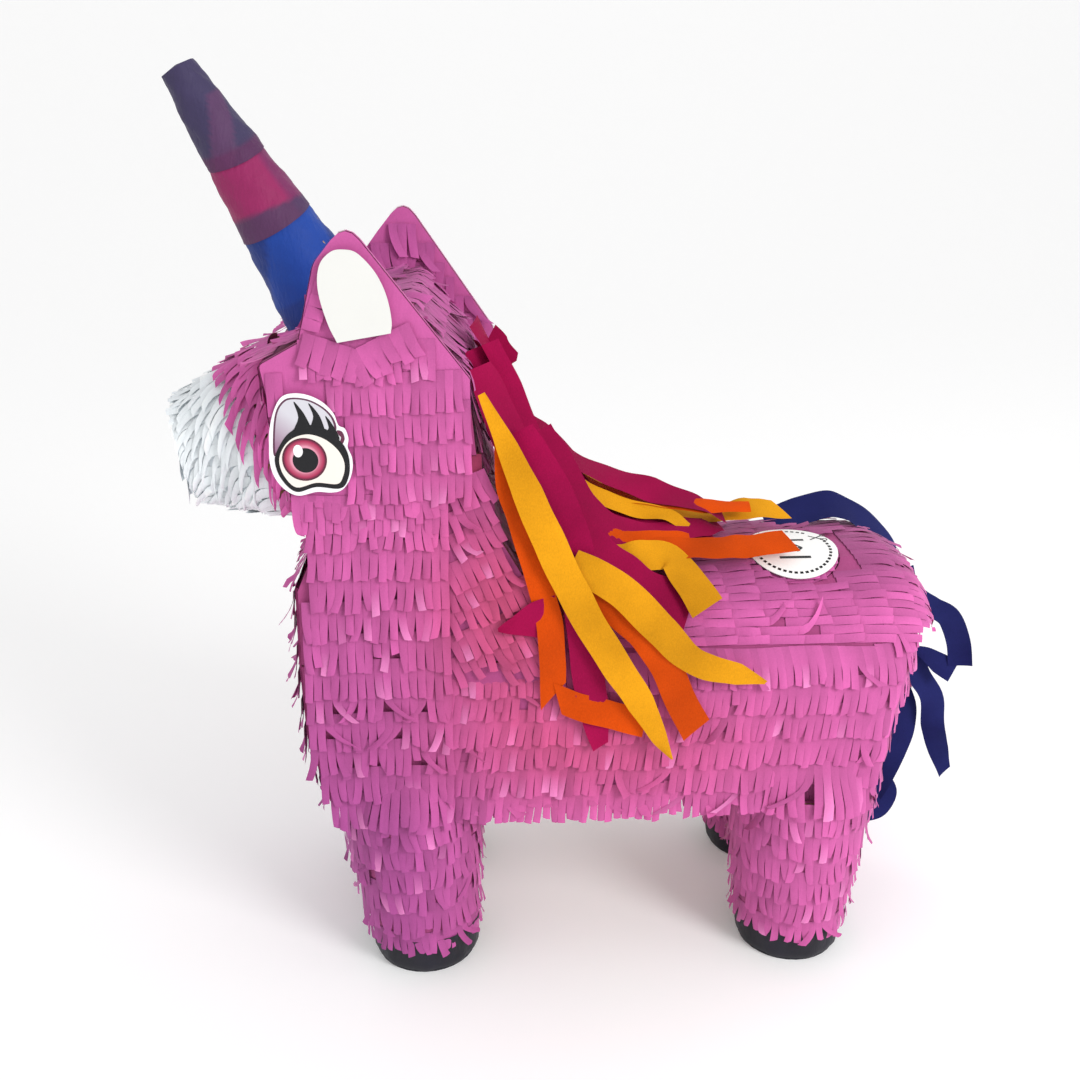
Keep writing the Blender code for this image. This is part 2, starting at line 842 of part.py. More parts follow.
def hung_ribbon(name, path, y, material, width=RIBBON_WIDTH):
    """A ribbon whose width runs across the animal, along a line in the X-Z plane."""
    rows = []
    for point in smooth_line(path, RIBBON_SMOOTHING):
        rows.append([(point.x, y - width / 2, point.y), (point.x, y + width / 2, point.y)])
    return sheet(name, rows, CREPE, material, (0.0, 0.0, -10.0), outwards=True)


def upright_ribbon(name, path, y, material, width=RIBBON_WIDTH):
    """A ribbon that faces sideways, along a line in the X-Z plane."""
    rows = []
    for low, high in ribbon_edges(path, width):
        rows.append([(low.x, y, low.y), (high.x, y, high.y)])
    return sheet(name, rows, CREPE, material, (0.0, 10.0, SHOULDER_Z), outwards=True)


def from_withers(points):
    """Ribbon points measured from the front of the back and its height."""
    return [(BACK_FRONT_X + x, BACK_Z + z) for x, z in points]


def make_left_mane(magenta, orange, yellow):
    root = [(-0.031, 0.128), (-0.025, 0.100), (-0.019, 0.066), (-0.008, 0.034)]
    side_ribbon("mane_left_root", from_withers(root), 1, magenta, 0.024)
    free = {
        "mane_left_magenta": (
            [(0.008, 0.027), (0.017, 0.000), (0.026, -0.033), (0.035, -0.081), (0.042, -0.116)],
            1, magenta, 0.026),
        "mane_left_orange": (
            [(-0.012, 0.027), (-0.006, 0.006), (0.002, -0.031), (0.005, -0.068), (0.012, -0.082),
             (0.038, -0.086), (0.066, -0.094)],
            2, orange, RIBBON_WIDTH),
        "mane_left_orange_rear": (
            [(0.032, 0.010), (0.054, -0.008), (0.078, -0.037), (0.097, -0.073), (0.112, -0.108)],
            2, orange, RIBBON_WIDTH),
        "mane_left_yellow_rear": (
            [(0.046, 0.020), (0.064, 0.002), (0.095, -0.033), (0.128, -0.054), (0.161, -0.068)],
            3, yellow, RIBBON_WIDTH),
        "mane_left_yellow": (
            [(-0.002, 0.027), (0.014, -0.001), (0.045, -0.050), (0.072, -0.091), (0.093, -0.127)],
            4, yellow, 0.023),
    }
    for name, (points, layer, material, width) in free.items():
        side_ribbon(name, from_withers(points), layer, material, width)


def make_back_mane(magenta, orange, yellow):
    crest = [(-0.046, 0.176), (-0.030, 0.150), (-0.020, 0.120), (-0.013, 0.094)]
    hung_ribbon("mane_crest", from_withers(crest), 0.0, magenta, 0.070)
    upper = [(-0.0115, 0.088), (0.025, 0.060), (0.083, 0.037), (0.148, 0.023)]
    hung_ribbon("mane_back_magenta", from_withers(upper), 0.016, magenta, 0.040)
    middle = [(-0.0115, 0.086), (0.030, 0.050), (0.100, 0.026), (0.180, 0.020)]
    hung_ribbon("mane_back_yellow", from_withers(middle), -0.024, yellow, 0.030)
    lower = [(BACK_FRONT_X + 0.012, -0.062), (BACK_FRONT_X + 0.080, -0.056),
             (FILL_X - 0.06, -0.050), (FILL_X + 0.0045, -0.040)]
    back_ribbon("mane_back_orange", lower, 3, orange, 0.024)


def make_tail(navy):
    end_x = BACK_REAR_X + RUMP_REACH
    over = [(FILL_X - 0.006, BACK_Z + 0.0045), (REAR_X + 0.013, BACK_Z + 0.0070),
            (REAR_X + 0.043, BACK_Z + 0.0155), (REAR_X + 0.066, BACK_Z + 0.0060),
            (end_x - 0.004, BACK_Z - 0.0120), (end_x - 0.001, BACK_Z - 0.0300)]
    hung_ribbon("tail_top", over, 0.032, navy, 0.024)
    x = end_x
    z = BACK_Z
    upright_ribbon("tail_curl", [(x + 0.006, z - 0.040), (x + 0.014, z - 0.060),
                                 (x + 0.034, z - 0.077), (x + 0.045, z - 0.116)],
                   0.016, navy, 0.019)
    upright_ribbon("tail_long", [(x + 0.007, z - 0.046), (x + 0.009, z - 0.093),
                                 (x + 0.032, z - 0.134), (x + 0.044, z - 0.182),
                                 (x + 0.056, z - 0.228)],
                   0.024, navy)
    upright_ribbon("tail_low", [(x + 0.007, z - 0.052), (x + 0.004, z - 0.102),
                                (x + 0.006, z - 0.140), (x + 0.022, z - 0.178),
                                (x + 0.017, z - 0.225), (x - 0.004, z - 0.285)],
                   0.032, navy)


def centre_on_origin():
    """Slides the whole part along X until its box is centred on the origin."""
    bpy.context.view_layer.update()
    graph = bpy.context.evaluated_depsgraph_get()
    low = 1e9
    high = -1e9
    for thing in PARTS.objects:
        if thing.type == "EMPTY":
            continue
        ready = thing.evaluated_get(graph)
        mesh = ready.to_mesh()
        for vertex in mesh.vertices:
            x = (ready.matrix_world @ vertex.co).x
            low = min(low, x)
            high = max(high, x)
        ready.to_mesh_clear()
    FRAME.location.x = -(low + high) / 2


# Joints


def flap_hinge():
    """The fold under the rear edge of the flap, on the card's inner face."""
    inner = Vector((0.0, sin(fill_tilt()), -cos(fill_tilt()))) * CARD
    return fill_centre() + Vector((FLAP_RADIUS, 0.0, 0.0)) + inner


def left_mane_hinge():
    z = BACK_Z + LEFT_MANE_HINGE_RISE
    return Vector((BACK_FRONT_X, -neck_half_width(z) - LEFT_MANE_HINGE_OUT, z))


def back_mane_hinge():
    return Vector((BACK_FRONT_X + BACK_MANE_HINGE_REACH, 0.0, BACK_Z + BACK_MANE_HINGE_RISE))


def tail_hinge():
    return Vector((BACK_REAR_X + RUMP_REACH + TAIL_HINGE_REACH, 0.0, BACK_Z - TAIL_HINGE_DROP))


def hang_on_hinges():
    """Puts each moving piece under an empty on its joint's axis, where it already stands."""
    moving = {
        "hinge_fill_flap": (flap_hinge(), "fill_"),
        "hinge_left_mane": (left_mane_hinge(), "mane_left_"),
        "hinge_back_mane": (back_mane_hinge(), "mane_back_"),
        "hinge_tail": (tail_hinge(), "tail_"),
    }
    fixed = ("mane_left_root", "tail_top")
    for name, (where, start) in moving.items():
        pivot = bpy.data.objects.new(name, None)
        PARTS.objects.link(pivot)
        pivot.parent = FRAME
        pivot.location = where
        for piece in list(PARTS.objects):
            if piece.name.startswith(start) and piece.name not in fixed:
                piece.parent = pivot
                piece.location = piece.location - where


def print_hinges():
    shift = Vector((FRAME.location.x, 0.0, 0.0))
    print("fill flap tilt", round(degrees(fill_tilt()), 3))
    for name, where in (
        ("fill flap", flap_hinge()),
        ("left mane", left_mane_hinge()),
        ("back mane", back_mane_hinge()),
        ("tail", tail_hinge()),
        ("left front hoof", Vector((FRONT_X, -HOOF_SPREAD, 0.0))),
        ("left rear hoof", Vector((REAR_X, -HOOF_SPREAD, 0.0))),
    ):
        print(name, [round(value, 5) for value in where + shift])


clear_scene()
PARTS = new_collection("pinata")
CUTTERS = new_collection("pinata_cutters", hidden=True)
FRAME = bpy.data.objects.new("pinata_frame", None)
PARTS.objects.link(FRAME)


def main():
    card = new_material("kraft_card", (0.45, 0.31, 0.18), 0.85)
    pink = new_material("pink_tissue", (0.72, 0.22, 0.50), 0.75)
    white = new_material("white_tissue", (0.80, 0.84, 0.84), 0.75)
    black = new_material("black_paper", (0.012, 0.012, 0.02), 0.7)
    paper = new_material("white_sticker", (0.86, 0.86, 0.84), 0.45)
    print_paper = new_material("printed_sticker", (0.80, 0.78, 0.76), 0.35)
    blue = new_material("blue_tissue", (0.02, 0.09, 0.42), 0.6)
    magenta = new_material("magenta_tissue", (0.42, 0.01, 0.14), 0.6)
    violet = new_material("violet_tissue", (0.10, 0.03, 0.13), 0.6)
    orange = new_material("orange_crepe", (0.85, 0.20, 0.01), 0.7)
    yellow = new_material("yellow_crepe", (0.80, 0.48, 0.02), 0.7)
    crimson = new_material("magenta_crepe", (0.45, 0.005, 0.11), 0.65)
    navy = new_material("navy_crepe", (0.012, 0.02, 0.13), 0.7)

    hole = cylinder_cutter("cutter_fill_hole", FLAP_RADIUS + RUNNING_GAP)
    make_side_panels(card)
    make_neck_panels(card)
    make_head_panels(card)
    make_back_panel(card, hole)
    make_rump_panel(card)
    make_belly_panel(card)
    make_chest_panel(card)
    make_crest_panel(card)
    make_head_top_panel(card)
    make_muzzle_tube(card)
    make_legs(card, black, pink)
    make_horn(card, blue, magenta, violet)
    make_side_fringe(pink)
    make_neck_fringe(pink)
    make_head_fringe(pink)
    make_back_fringe(pink, hole)
    make_rump_fringe(pink)
    make_chest_fringe(pink)
    make_muzzle_fringe(white)
    make_fill_flap(card, pink, paper)
    make_ear_patches(paper)
    make_eye_stickers(print_paper)
    make_left_mane(crimson, orange, yellow)
    make_back_mane(crimson, orange, yellow)
    make_tail(navy)
    hang_on_hinges()
    centre_on_origin()
    print_hinges()


main()
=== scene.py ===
"""Looks of the standing unicorn pinata: tissue fringe, papers, streamers, camera and light."""

from math import atan2, cos, pi, radians, sin, tan

import bpy
import numpy as np
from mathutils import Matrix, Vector
from mathutils.bvhtree import BVHTree


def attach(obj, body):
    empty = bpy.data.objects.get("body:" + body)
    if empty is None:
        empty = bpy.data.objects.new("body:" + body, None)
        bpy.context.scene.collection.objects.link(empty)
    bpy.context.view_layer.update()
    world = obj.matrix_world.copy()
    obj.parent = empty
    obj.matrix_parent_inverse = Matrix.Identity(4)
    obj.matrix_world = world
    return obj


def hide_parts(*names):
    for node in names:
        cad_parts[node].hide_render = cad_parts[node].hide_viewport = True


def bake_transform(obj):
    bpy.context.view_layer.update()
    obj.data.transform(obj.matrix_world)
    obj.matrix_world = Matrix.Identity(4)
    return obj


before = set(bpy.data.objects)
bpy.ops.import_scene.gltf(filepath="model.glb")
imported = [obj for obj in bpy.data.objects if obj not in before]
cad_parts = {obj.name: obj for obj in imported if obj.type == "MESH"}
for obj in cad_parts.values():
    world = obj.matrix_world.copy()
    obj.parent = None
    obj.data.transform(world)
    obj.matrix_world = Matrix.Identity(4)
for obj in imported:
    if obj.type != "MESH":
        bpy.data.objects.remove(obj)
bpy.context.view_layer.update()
RNG = np.random.default_rng(11)

# Levels and stations of the carcass, in metres, the same as in the CAD
TISSUE = 0.0027
FRONT_X = -0.14258
REAR_X = 0.15442
BELLY_Z = 0.152
SHOULDER_Z = 0.225
BACK_Z = 0.322
SCORE_Z = 0.2695
HEAD_Z = 0.390
FACE_TOP_Z = 0.485
HALF_WIDTH = 0.106
ARCH_RISE = 0.097
ARCH_SQUARENESS = 2.4
WITHERS_X = -0.04858
RUMP_X = 0.19622
RUMP_REACH = 0.055
RUMP_LEAN = 0.27
RUMP_ROUNDING = 0.05
RUMP_COLLAR = 0.004
NECK_LEAN = atan2(0.0175, 0.1505)
HEAD_HALF_WIDTH = 0.096
FACE_TILT = radians(10)
HORN_LEAN = radians(30)
COLUMN_X = -0.1155
FILL_X = 0.14542
FILL_OFFSET = 0.033
FLAP_RADIUS = 0.0355
EYE_X, EYE_Z = -0.2080, 0.4295
LEG_TOP_Y, LEG_FOOT_Y = 0.0625, 0.0684
LEG_TOP_Z = 0.1508
FRONT_RAKE, REAR_RAKE = -0.0095, 0.0035
FRONT_LEG_RADIUS, REAR_LEG_RADIUS = 0.054, 0.0555
RIGHT_EAR_LEAN = 0.026
# How tissue is laid on the carcass, in metres
GLUED = 0.0005
FIRST_ROW_Z = 0.1685
COLLAR_Z = 0.1805
PRINT_OUT = 0.0054
PAPER_THICKNESS = 0.0006
LEFT = -1
RIGHT = 1


# Camera


def add_camera():
    data = bpy.data.cameras.new("camera")
    data.sensor_width = 36.0
    data.lens = 40.57
    camera = bpy.data.objects.new("camera", data)
    bpy.context.scene.collection.objects.link(camera)
    camera.location = (-0.0906, -0.9005, 0.6514)
    camera.rotation_euler = (radians(70), 0.0, radians(-2.79))
    bpy.context.scene.camera = camera


add_camera()


# Colour and shaders


def linear(red, green, blue):
    """A colour given in 0-255 display values, as linear light."""
    value = np.array([red, green, blue], float) / 255
    return np.where(value <= 0.04045, value / 12.92, ((value + 0.055) / 1.055) ** 2.4)


class Shader:
    """A Principled material built up from nodes."""

    def __init__(self, name, roughness=0.8, sheen=0.0, coat=0.0):
        self.material = bpy.data.materials.new(name)
        self.material.use_nodes = True
        self.tree = self.material.node_tree
        self.body = self.tree.nodes["Principled BSDF"]
        self.body.inputs["Roughness"].default_value = roughness
        self.body.inputs["Sheen Weight"].default_value = sheen
        self.body.inputs["Coat Weight"].default_value = coat
        self.body.inputs["Specular IOR Level"].default_value = 0.3
        self.coordinates = self.tree.nodes.new("ShaderNodeTexCoord")

    def node(self, kind, **settings):
        made = self.tree.nodes.new(kind)
        for key, value in settings.items():
            setattr(made, key, value)
        return made

    def link(self, a, b):
        self.tree.links.new(a, b)

    def noise(self, scale, detail=3.0, stretch=(1, 1, 1), distortion=0.0, source="Object"):
        mapping = self.node("ShaderNodeMapping")
        mapping.inputs["Scale"].default_value = stretch
        self.link(self.coordinates.outputs[source], mapping.inputs["Vector"])
        noise = self.node("ShaderNodeTexNoise")
        noise.inputs["Scale"].default_value = scale
        noise.inputs["Detail"].default_value = detail
        noise.inputs["Distortion"].default_value = distortion
        self.link(mapping.outputs["Vector"], noise.inputs["Vector"])
        return noise.outputs["Fac"]

    def ramp(self, fac, stops):
        ramp = self.node("ShaderNodeValToRGB")
        elements = ramp.color_ramp.elements
        while len(elements) < len(stops):
            elements.new(0.5)
        for element, (place, colour) in zip(elements, stops):
            element.position = place
            element.color = (*colour, 1.0)
        self.link(fac, ramp.inputs["Fac"])
        return ramp.outputs["Color"]

    def scaled(self, fac, low, high):
        span = self.node("ShaderNodeMapRange")
        span.inputs["To Min"].default_value = low
        span.inputs["To Max"].default_value = high
        self.link(fac, span.inputs["Value"])
        return span.outputs["Result"]

    def times(self, colour, factor):
        """A colour, brightened or dimmed by a number."""
        scale = self.node("ShaderNodeVectorMath", operation="SCALE")
        self.link(colour, scale.inputs[0])
        self.link(factor, scale.inputs["Scale"])
        return scale.outputs["Vector"]

    def paint(self):
        return self.node("ShaderNodeAttribute", attribute_name="paint").outputs["Color"]

    def colour(self, socket):
        self.link(socket, self.body.inputs["Base Color"])

    def bump(self, height, strength, distance):
        bump = self.node("ShaderNodeBump")
        bump.inputs["Strength"].default_value = strength
        bump.inputs["Distance"].default_value = distance
        self.link(height, bump.inputs["Height"])
        self.link(bump.outputs["Normal"], self.body.inputs["Normal"])


def tissue_shader(name, roughness=0.74, grain=0.10, sheen=0.06, crinkles=0.0008):
    """Painted tissue: fibre specks, soft crinkles and a little shine on the folds."""
    shader = Shader(name, roughness, sheen)
    specks = shader.scaled(shader.noise(900, 4), 1 - grain, 1 + grain)
    clouds = shader.scaled(shader.noise(60, 3), 0.90, 1.10)
    colour = shader.times(shader.paint(), specks)
    shader.colour(shader.times(colour, clouds))
    crinkle = shader.noise(260, 4, stretch=(1, 1, 0.35), distortion=0.6)
    shader.bump(crinkle, 0.45, crinkles)
    return shader.material


def crepe_shader(name, grain=0.22):
    """Painted crepe paper: coarser fibres than the tissue, and nearly no shine."""
    shader = Shader(name, 0.85)
    shader.body.inputs["Specular IOR Level"].default_value = 0.12
    fibres = shader.scaled(shader.noise(1300, 5, stretch=(1, 1, 0.5)), 1 - grain, 1 + grain)
    clouds = shader.scaled(shader.noise(45, 2), 0.86, 1.12)
    shader.colour(shader.times(shader.times(shader.paint(), fibres), clouds))
    shader.bump(shader.noise(900, 4, distortion=0.4), 0.30, 0.0004)
    return shader.material


def paper_shader(name, roughness=0.5, coat=0.0):
    """Smooth printed paper, with a coat where it is glossy."""
    shader = Shader(name, roughness, 0.0, coat)
    fibres = shader.scaled(shader.noise(1800, 3), 0.985, 1.015)
    clouds = shader.scaled(shader.noise(30, 2), 0.975, 1.02)
    shader.colour(shader.times(shader.times(shader.paint(), fibres), clouds))
    shader.bump(shader.noise(120, 2), 0.10, 0.0004)
    return shader.material


def card_shader():
    """Brown corrugated card, with faint flutes and fibre specks."""
    shader = Shader("kraft_card", 0.85)
    fibre = shader.noise(700, 5, stretch=(1, 1, 0.4))
    shader.colour(
        shader.ramp(fibre, [(0.25, linear(140, 104, 66)), (0.75, linear(186, 148, 102))])
    )
    wave = shader.node("ShaderNodeTexWave", bands_direction="X")
    wave.inputs["Scale"].default_value = 55
    wave.inputs["Distortion"].default_value = 0.4
    shader.link(shader.coordinates.outputs["Object"], wave.inputs["Vector"])
    shader.bump(wave.outputs["Fac"], 0.25, 0.0008)
    return shader.material


# Meshes built from grids


class Layer:
    """Grids and faces that become one piece, with a painted colour at each point."""

    def __init__(self):
        self.points = []
        self.paint = []
        self.faces = []
        self.count = 0

    def grids(self, points, paint):
        """points is (n, rows, columns, 3): n separate sheets."""
        n, rows, columns = points.shape[:3]
        index = self.count + np.arange(n * rows * columns).reshape(n, rows, columns)
        quads = np.stack(
            [index[:, :-1, :-1], index[:, 1:, :-1], index[:, 1:, 1:], index[:, :-1, 1:]], -1
        )
        self.faces.extend(quads.reshape(-1, 4).tolist())
        self.points.append(points.reshape(-1, 3))
        self.paint.append(np.broadcast_to(paint, points.shape).reshape(-1, 3))
        self.count += n * rows * columns

    def node(self, name, paint):
        """A copy of a CAD node's shape, as the backing under the tissue."""
        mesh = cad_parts[name].data
        points = np.empty(len(mesh.vertices) * 3)
        mesh.vertices.foreach_get("co", points)
        points = points.reshape(-1, 3)
        for face in mesh.polygons:
            self.polygon(points[list(face.vertices)], paint)

    def wrap(self, name, out, paint):
        """Tissue glued all over a CAD piece, a little outside it."""
        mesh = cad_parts[name].data
        points = np.array([v.co[:] for v in mesh.vertices])
        pushed = np.zeros_like(points)
        for face in mesh.polygons:
            for i in face.vertices:
                if pushed[i] @ np.array(face.normal) < 0.9:
                    pushed[i] += np.array(face.normal)
        pushed = np.clip(pushed, -1, 1)
        for face in mesh.polygons:
            corners = list(face.vertices)
            self.polygon(points[corners] + pushed[corners] * out, paint)

    def polygon(self, points, paint):
        points = np.asarray(points, float)
        self.faces.append(list(range(self.count, self.count + len(points))))
        self.points.append(points)
        self.paint.append(np.broadcast_to(paint, points.shape))
        self.count += len(points)

    def piece(self, name, material, body="carcass", replaces=(), smooth=True):
        mesh = bpy.data.meshes.new(name)
        points = np.concatenate(self.points)
        mesh.from_pydata(points.tolist(), [], self.faces)
        layer = mesh.color_attributes.new("paint", "FLOAT_COLOR", "POINT")
        rgba = np.ones((len(points), 4))
        rgba[:, :3] = np.clip(np.concatenate(self.paint), 0.0, 1.0)
        layer.data.foreach_set("color", rgba.ravel())
        mesh.polygons.foreach_set("use_smooth", [smooth] * len(mesh.polygons))
        mesh.materials.append(material)
        mesh.update()
        made = bpy.data.objects.new(name, mesh)
        bpy.context.scene.collection.objects.link(made)
        if body is not None:
            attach(made, body)
        if replaces:
            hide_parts(*replaces)
        return made


# Surfaces that the tissue follows. Each maps (u, v) to a point; v runs down a strip.


def neck_half_width(z):
    return HALF_WIDTH + TISSUE - np.maximum(0.0, z - SCORE_Z) * tan(NECK_LEAN)


class Chart:
    """A surface with the outward normal worked out from its own slopes.

    sample is a (u, v) on it, and inside a point behind the surface there."""

    def __init__(self, place, sample, inside):
        self.place = place
        self.turn = 1
        u, v = (np.array([value], float) for value in sample)
        outward = place(u, v)[0] - np.array(inside)
        self.turn = 1 if float(self.normal(u, v)[0] @ outward) > 0 else -1

    def normal(self, u, v):
        step = 0.0008
        across = self.place(u + step, v) - self.place(u - step, v)
        down = self.place(u, v + step) - self.place(u, v - step)
        normal = np.cross(across, down) * self.turn
        return normal / np.maximum(np.linalg.norm(normal, axis=-1, keepdims=True), 1e-12)


def neck_wall(side):
    def place(u, v):
        z = -v
        return np.stack([u, side * neck_half_width(z), z], -1)
    return Chart(place, (-0.15, -0.3), (-0.15, 0, 0.3))


def head_wall(side):
    def place(u, v):
        y = side * (HEAD_HALF_WIDTH + TISSUE)
        return np.stack([u, np.full_like(u, y), -v], -1)
    return Chart(place, (-0.15, -0.4), (-0.15, 0, 0.4))


def rotated(chart, origin, angle):
    """The same surface with its strips turned in its own plane."""
    def place(u, v):
        c, s = cos(angle), sin(angle)
        return chart.place(origin[0] + u * c - v * s, origin[1] + u * s + v * c)
    made = Chart(place, (0, 0), (0, 0, 0))
    made.turn = chart.turn
    return made


class BodyChart(Chart):
    """Horizontal lines round the body: along one flank, round the rump and back."""

    def __init__(self):
        self.levels = np.linspace(BELLY_Z - 0.012, BACK_Z - 0.004, 48)
        self.us = np.linspace(-0.46, 0.46, 461)
        table = np.zeros((len(self.levels), len(self.us), 3))
        for i, z in enumerate(self.levels):
            table[i] = self.level(z)
        self.table = table
        super().__init__(self.look_up, (-0.2, -0.2), (0.1, 0, 0.2))

    def level(self, z):
        up = max(z - SHOULDER_Z, 0.0)
        most = min(RUMP_ROUNDING, ARCH_RISE + TISSUE - up - 0.0005)
        turn = np.arccos(1 - np.linspace(0, most, 30) / RUMP_ROUNDING)
        inset = RUMP_ROUNDING * (1 - np.cos(turn))
        share = np.clip(up / (ARCH_RISE - inset + TISSUE), 0, 0.9999)
        y = (HALF_WIDTH - inset + TISSUE) * (1 - share**ARCH_SQUARENESS) ** (1 / ARCH_SQUARENESS)
        reach = RUMP_REACH - RUMP_LEAN * (BACK_Z - z) + TISSUE - RUMP_COLLAR
        x = RUMP_X + RUMP_COLLAR + reach * np.sin(turn)
        half = np.array([x, y]).T
        side = np.array([[COLUMN_X - 0.12, y[0]], [RUMP_X, y[0]]])
        half = np.concatenate([side, half, [[x[-1], 0.0]]])
        line = np.concatenate([half * [1, -1], half[::-1][1:]])
        length = np.concatenate([[0], np.cumsum(np.linalg.norm(np.diff(line, axis=0), axis=1))])
        length -= length[-1] / 2
        x = np.interp(self.us, length, line[:, 0])
        y = np.interp(self.us, length, line[:, 1])
        return np.stack([x, y, np.full_like(x, z)], -1)

    def look_up(self, u, v):
        z = -v
        i = (np.clip(z, self.levels[0], self.levels[-1]) - self.levels[0])
        i = i / (self.levels[1] - self.levels[0])
        low = np.clip(np.floor(i).astype(int), 0, len(self.levels) - 2)
        j = (np.clip(u, self.us[0], self.us[-1]) - self.us[0]) / (self.us[1] - self.us[0])
        left = np.clip(np.floor(j).astype(int), 0, len(self.us) - 2)
        a = (i - low)[..., None]
        b = (j - left)[..., None]
        t = self.table
        point = (t[low, left] * (1 - a) * (1 - b) + t[low + 1, left] * a * (1 - b)
                 + t[low, left + 1] * (1 - a) * b + t[low + 1, left + 1] * a * b)
        point[..., 2] = z
        return point


def arch_chart():
    """Over the back: u is the run round the arch from its crown, v goes to the rear."""
    angles = np.linspace(0, pi, 400)
    power = 2 / ARCH_SQUARENESS
    y = -(HALF_WIDTH + TISSUE) * np.sign(np.cos(angles)) * np.abs(np.cos(angles)) ** power
    z = SHOULDER_Z + (ARCH_RISE + TISSUE) * np.sin(angles) ** power
    length = np.concatenate([[0], np.cumsum(np.hypot(np.diff(y), np.diff(z)))])
    length -= length[-1] / 2

    def place(u, v):
        behind = np.clip((v - RUMP_X) / (RUMP_REACH + TISSUE), 0, 0.999)
        inset = RUMP_ROUNDING * (1 - np.sqrt(1 - behind**2))
        across = np.interp(u, length, y) * (1 - inset / (HALF_WIDTH + TISSUE))
        rise = (np.interp(u, length, z) - SHOULDER_Z) * (1 - inset / (ARCH_RISE + TISSUE))
        return np.stack([v, across, SHOULDER_Z + rise], -1)
    return Chart(place, (0, 0.1), (0.1, 0, 0.2))


def cone_chart(foot, top, foot_radius, top_radius):
    """A leg, muzzle or horn: u is the angle round it, v the distance from the top end."""
    foot, top = Vector(foot), Vector(top)
    axis = (top - foot).normalized()
    side = axis.cross(Vector((0, 1, 0))).normalized()
    front = np.array(side.cross(axis))
    side, start, axis = np.array(side), np.array(top), np.array(axis)
    length = (top - foot).length

    def place(u, v):
        radius = top_radius + (foot_radius - top_radius) * v / length
        ring = np.cos(u)[..., None] * side + np.sin(u)[..., None] * front
        return start - axis * v[..., None] + ring * radius[..., None]
    return Chart(place, (0, 0.01), start - axis * 0.01)


# Fringe


PINK = linear(194, 88, 154)
# Warm pink: a real warmer hue, darkened as painted shade under and beside the mane streamers
PINK_WARM_SHADED = linear(188, 70, 112)
# Lilac pink: a real cooler hue, darkened as painted shade on the front of the chest and the legs
PINK_LILAC_SHADED = linear(164, 72, 140)
PINK_PALE = linear(232, 142, 198)
# Darker pink laid as backing under the tabs: painted shade seen in the slits and gaps between them
PINK_SHADED_BACKING = linear(164, 66, 122)
WHITE_TISSUE = linear(240, 246, 249)
# Greyer white laid as backing under the muzzle's tabs: painted shade seen in the gaps between them
WHITE_SHADED_BACKING = linear(214, 222, 228)
BLACK_TISSUE = linear(26, 25, 36)


def pink_at(points):
    """Lilac at the chest and the legs, warmer by the mane and on the rump; both are darker than
    the plain pink, as painted shade on the front and under the streamers.
    """
    x, z = points[..., 0], points[..., 2]
    low = np.clip((0.36 - z) / 0.22, 0, 1)
    lilac_shade = np.clip((-0.06 - x) / 0.10, 0, 1) * low
    warm_shade = np.exp(-(((x + 0.070) / 0.06) ** 2) - ((z - 0.31) / 0.08) ** 2)
    warm_shade = np.clip(warm_shade + 0.7 * np.exp(-((x / 0.11) ** 2) - ((z - 0.20) / 0.05) ** 2), 0, 1)
    lilac_shade, warm_shade = lilac_shade[..., None], warm_shade[..., None]
    colour = PINK * (1 - lilac_shade) + PINK_LILAC_SHADED * lilac_shade
    return colour * (1 - warm_shade) + PINK_WARM_SHADED * warm_shade


def bright_pink_at(points):
    """The brow, where one thin layer lies over white."""
    return pink_at(points) * 1.22


def shaded_top_pink_at(points):
    """Darker along the crown of the back than on its shoulders: painted shade on the top of the
    back.
    """
    crown = np.clip((points[..., 2] - 0.300) / 0.018, 0, 1)[..., None]
    return pink_at(points) * (1.06 - crown * (0.34, 0.30, 0.32))


def white_at(points):
    return np.broadcast_to(WHITE_TISSUE, points.shape)


class Cut:
    """How a strip is cut and how neatly its tabs hang."""

    def __init__(self, pitch=0.0060, length=0.0285, header=0.42, lean=2.0, twist=6.0,
                 lift=0.0022, curl=0.0010, cup=0.0007, messy=0.05, torn=0.04, tone=0.075,
                 colour=pink_at, scale_u=1.0, base=0.0003, sweep=None, stop=None,
                 tips=False):
        self.pitch = pitch
        self.length = length
        self.header = header
        self.lean = radians(lean)
        self.twist = radians(twist)
        self.lift = lift
        self.curl = curl
        self.cup = cup
        self.messy = messy
        self.torn = torn
        self.tone = tone
        self.colour = colour
        self.scale_u = scale_u
        self.base = base
        self.sweep = sweep
        self.stop = stop
        self.tips = tips

    def changed(self, **changes):
        made = Cut()
        made.__dict__.update(self.__dict__)
        for name, value in changes.items():
            setattr(made, name, radians(value) if name in ("lean", "twist") else value)
        return made


STATIONS = np.array([0.0, 0.22, 0.42, 0.58, 0.76, 0.90, 1.0])
ACROSS = np.array([-1.0, 0.0, 1.0])


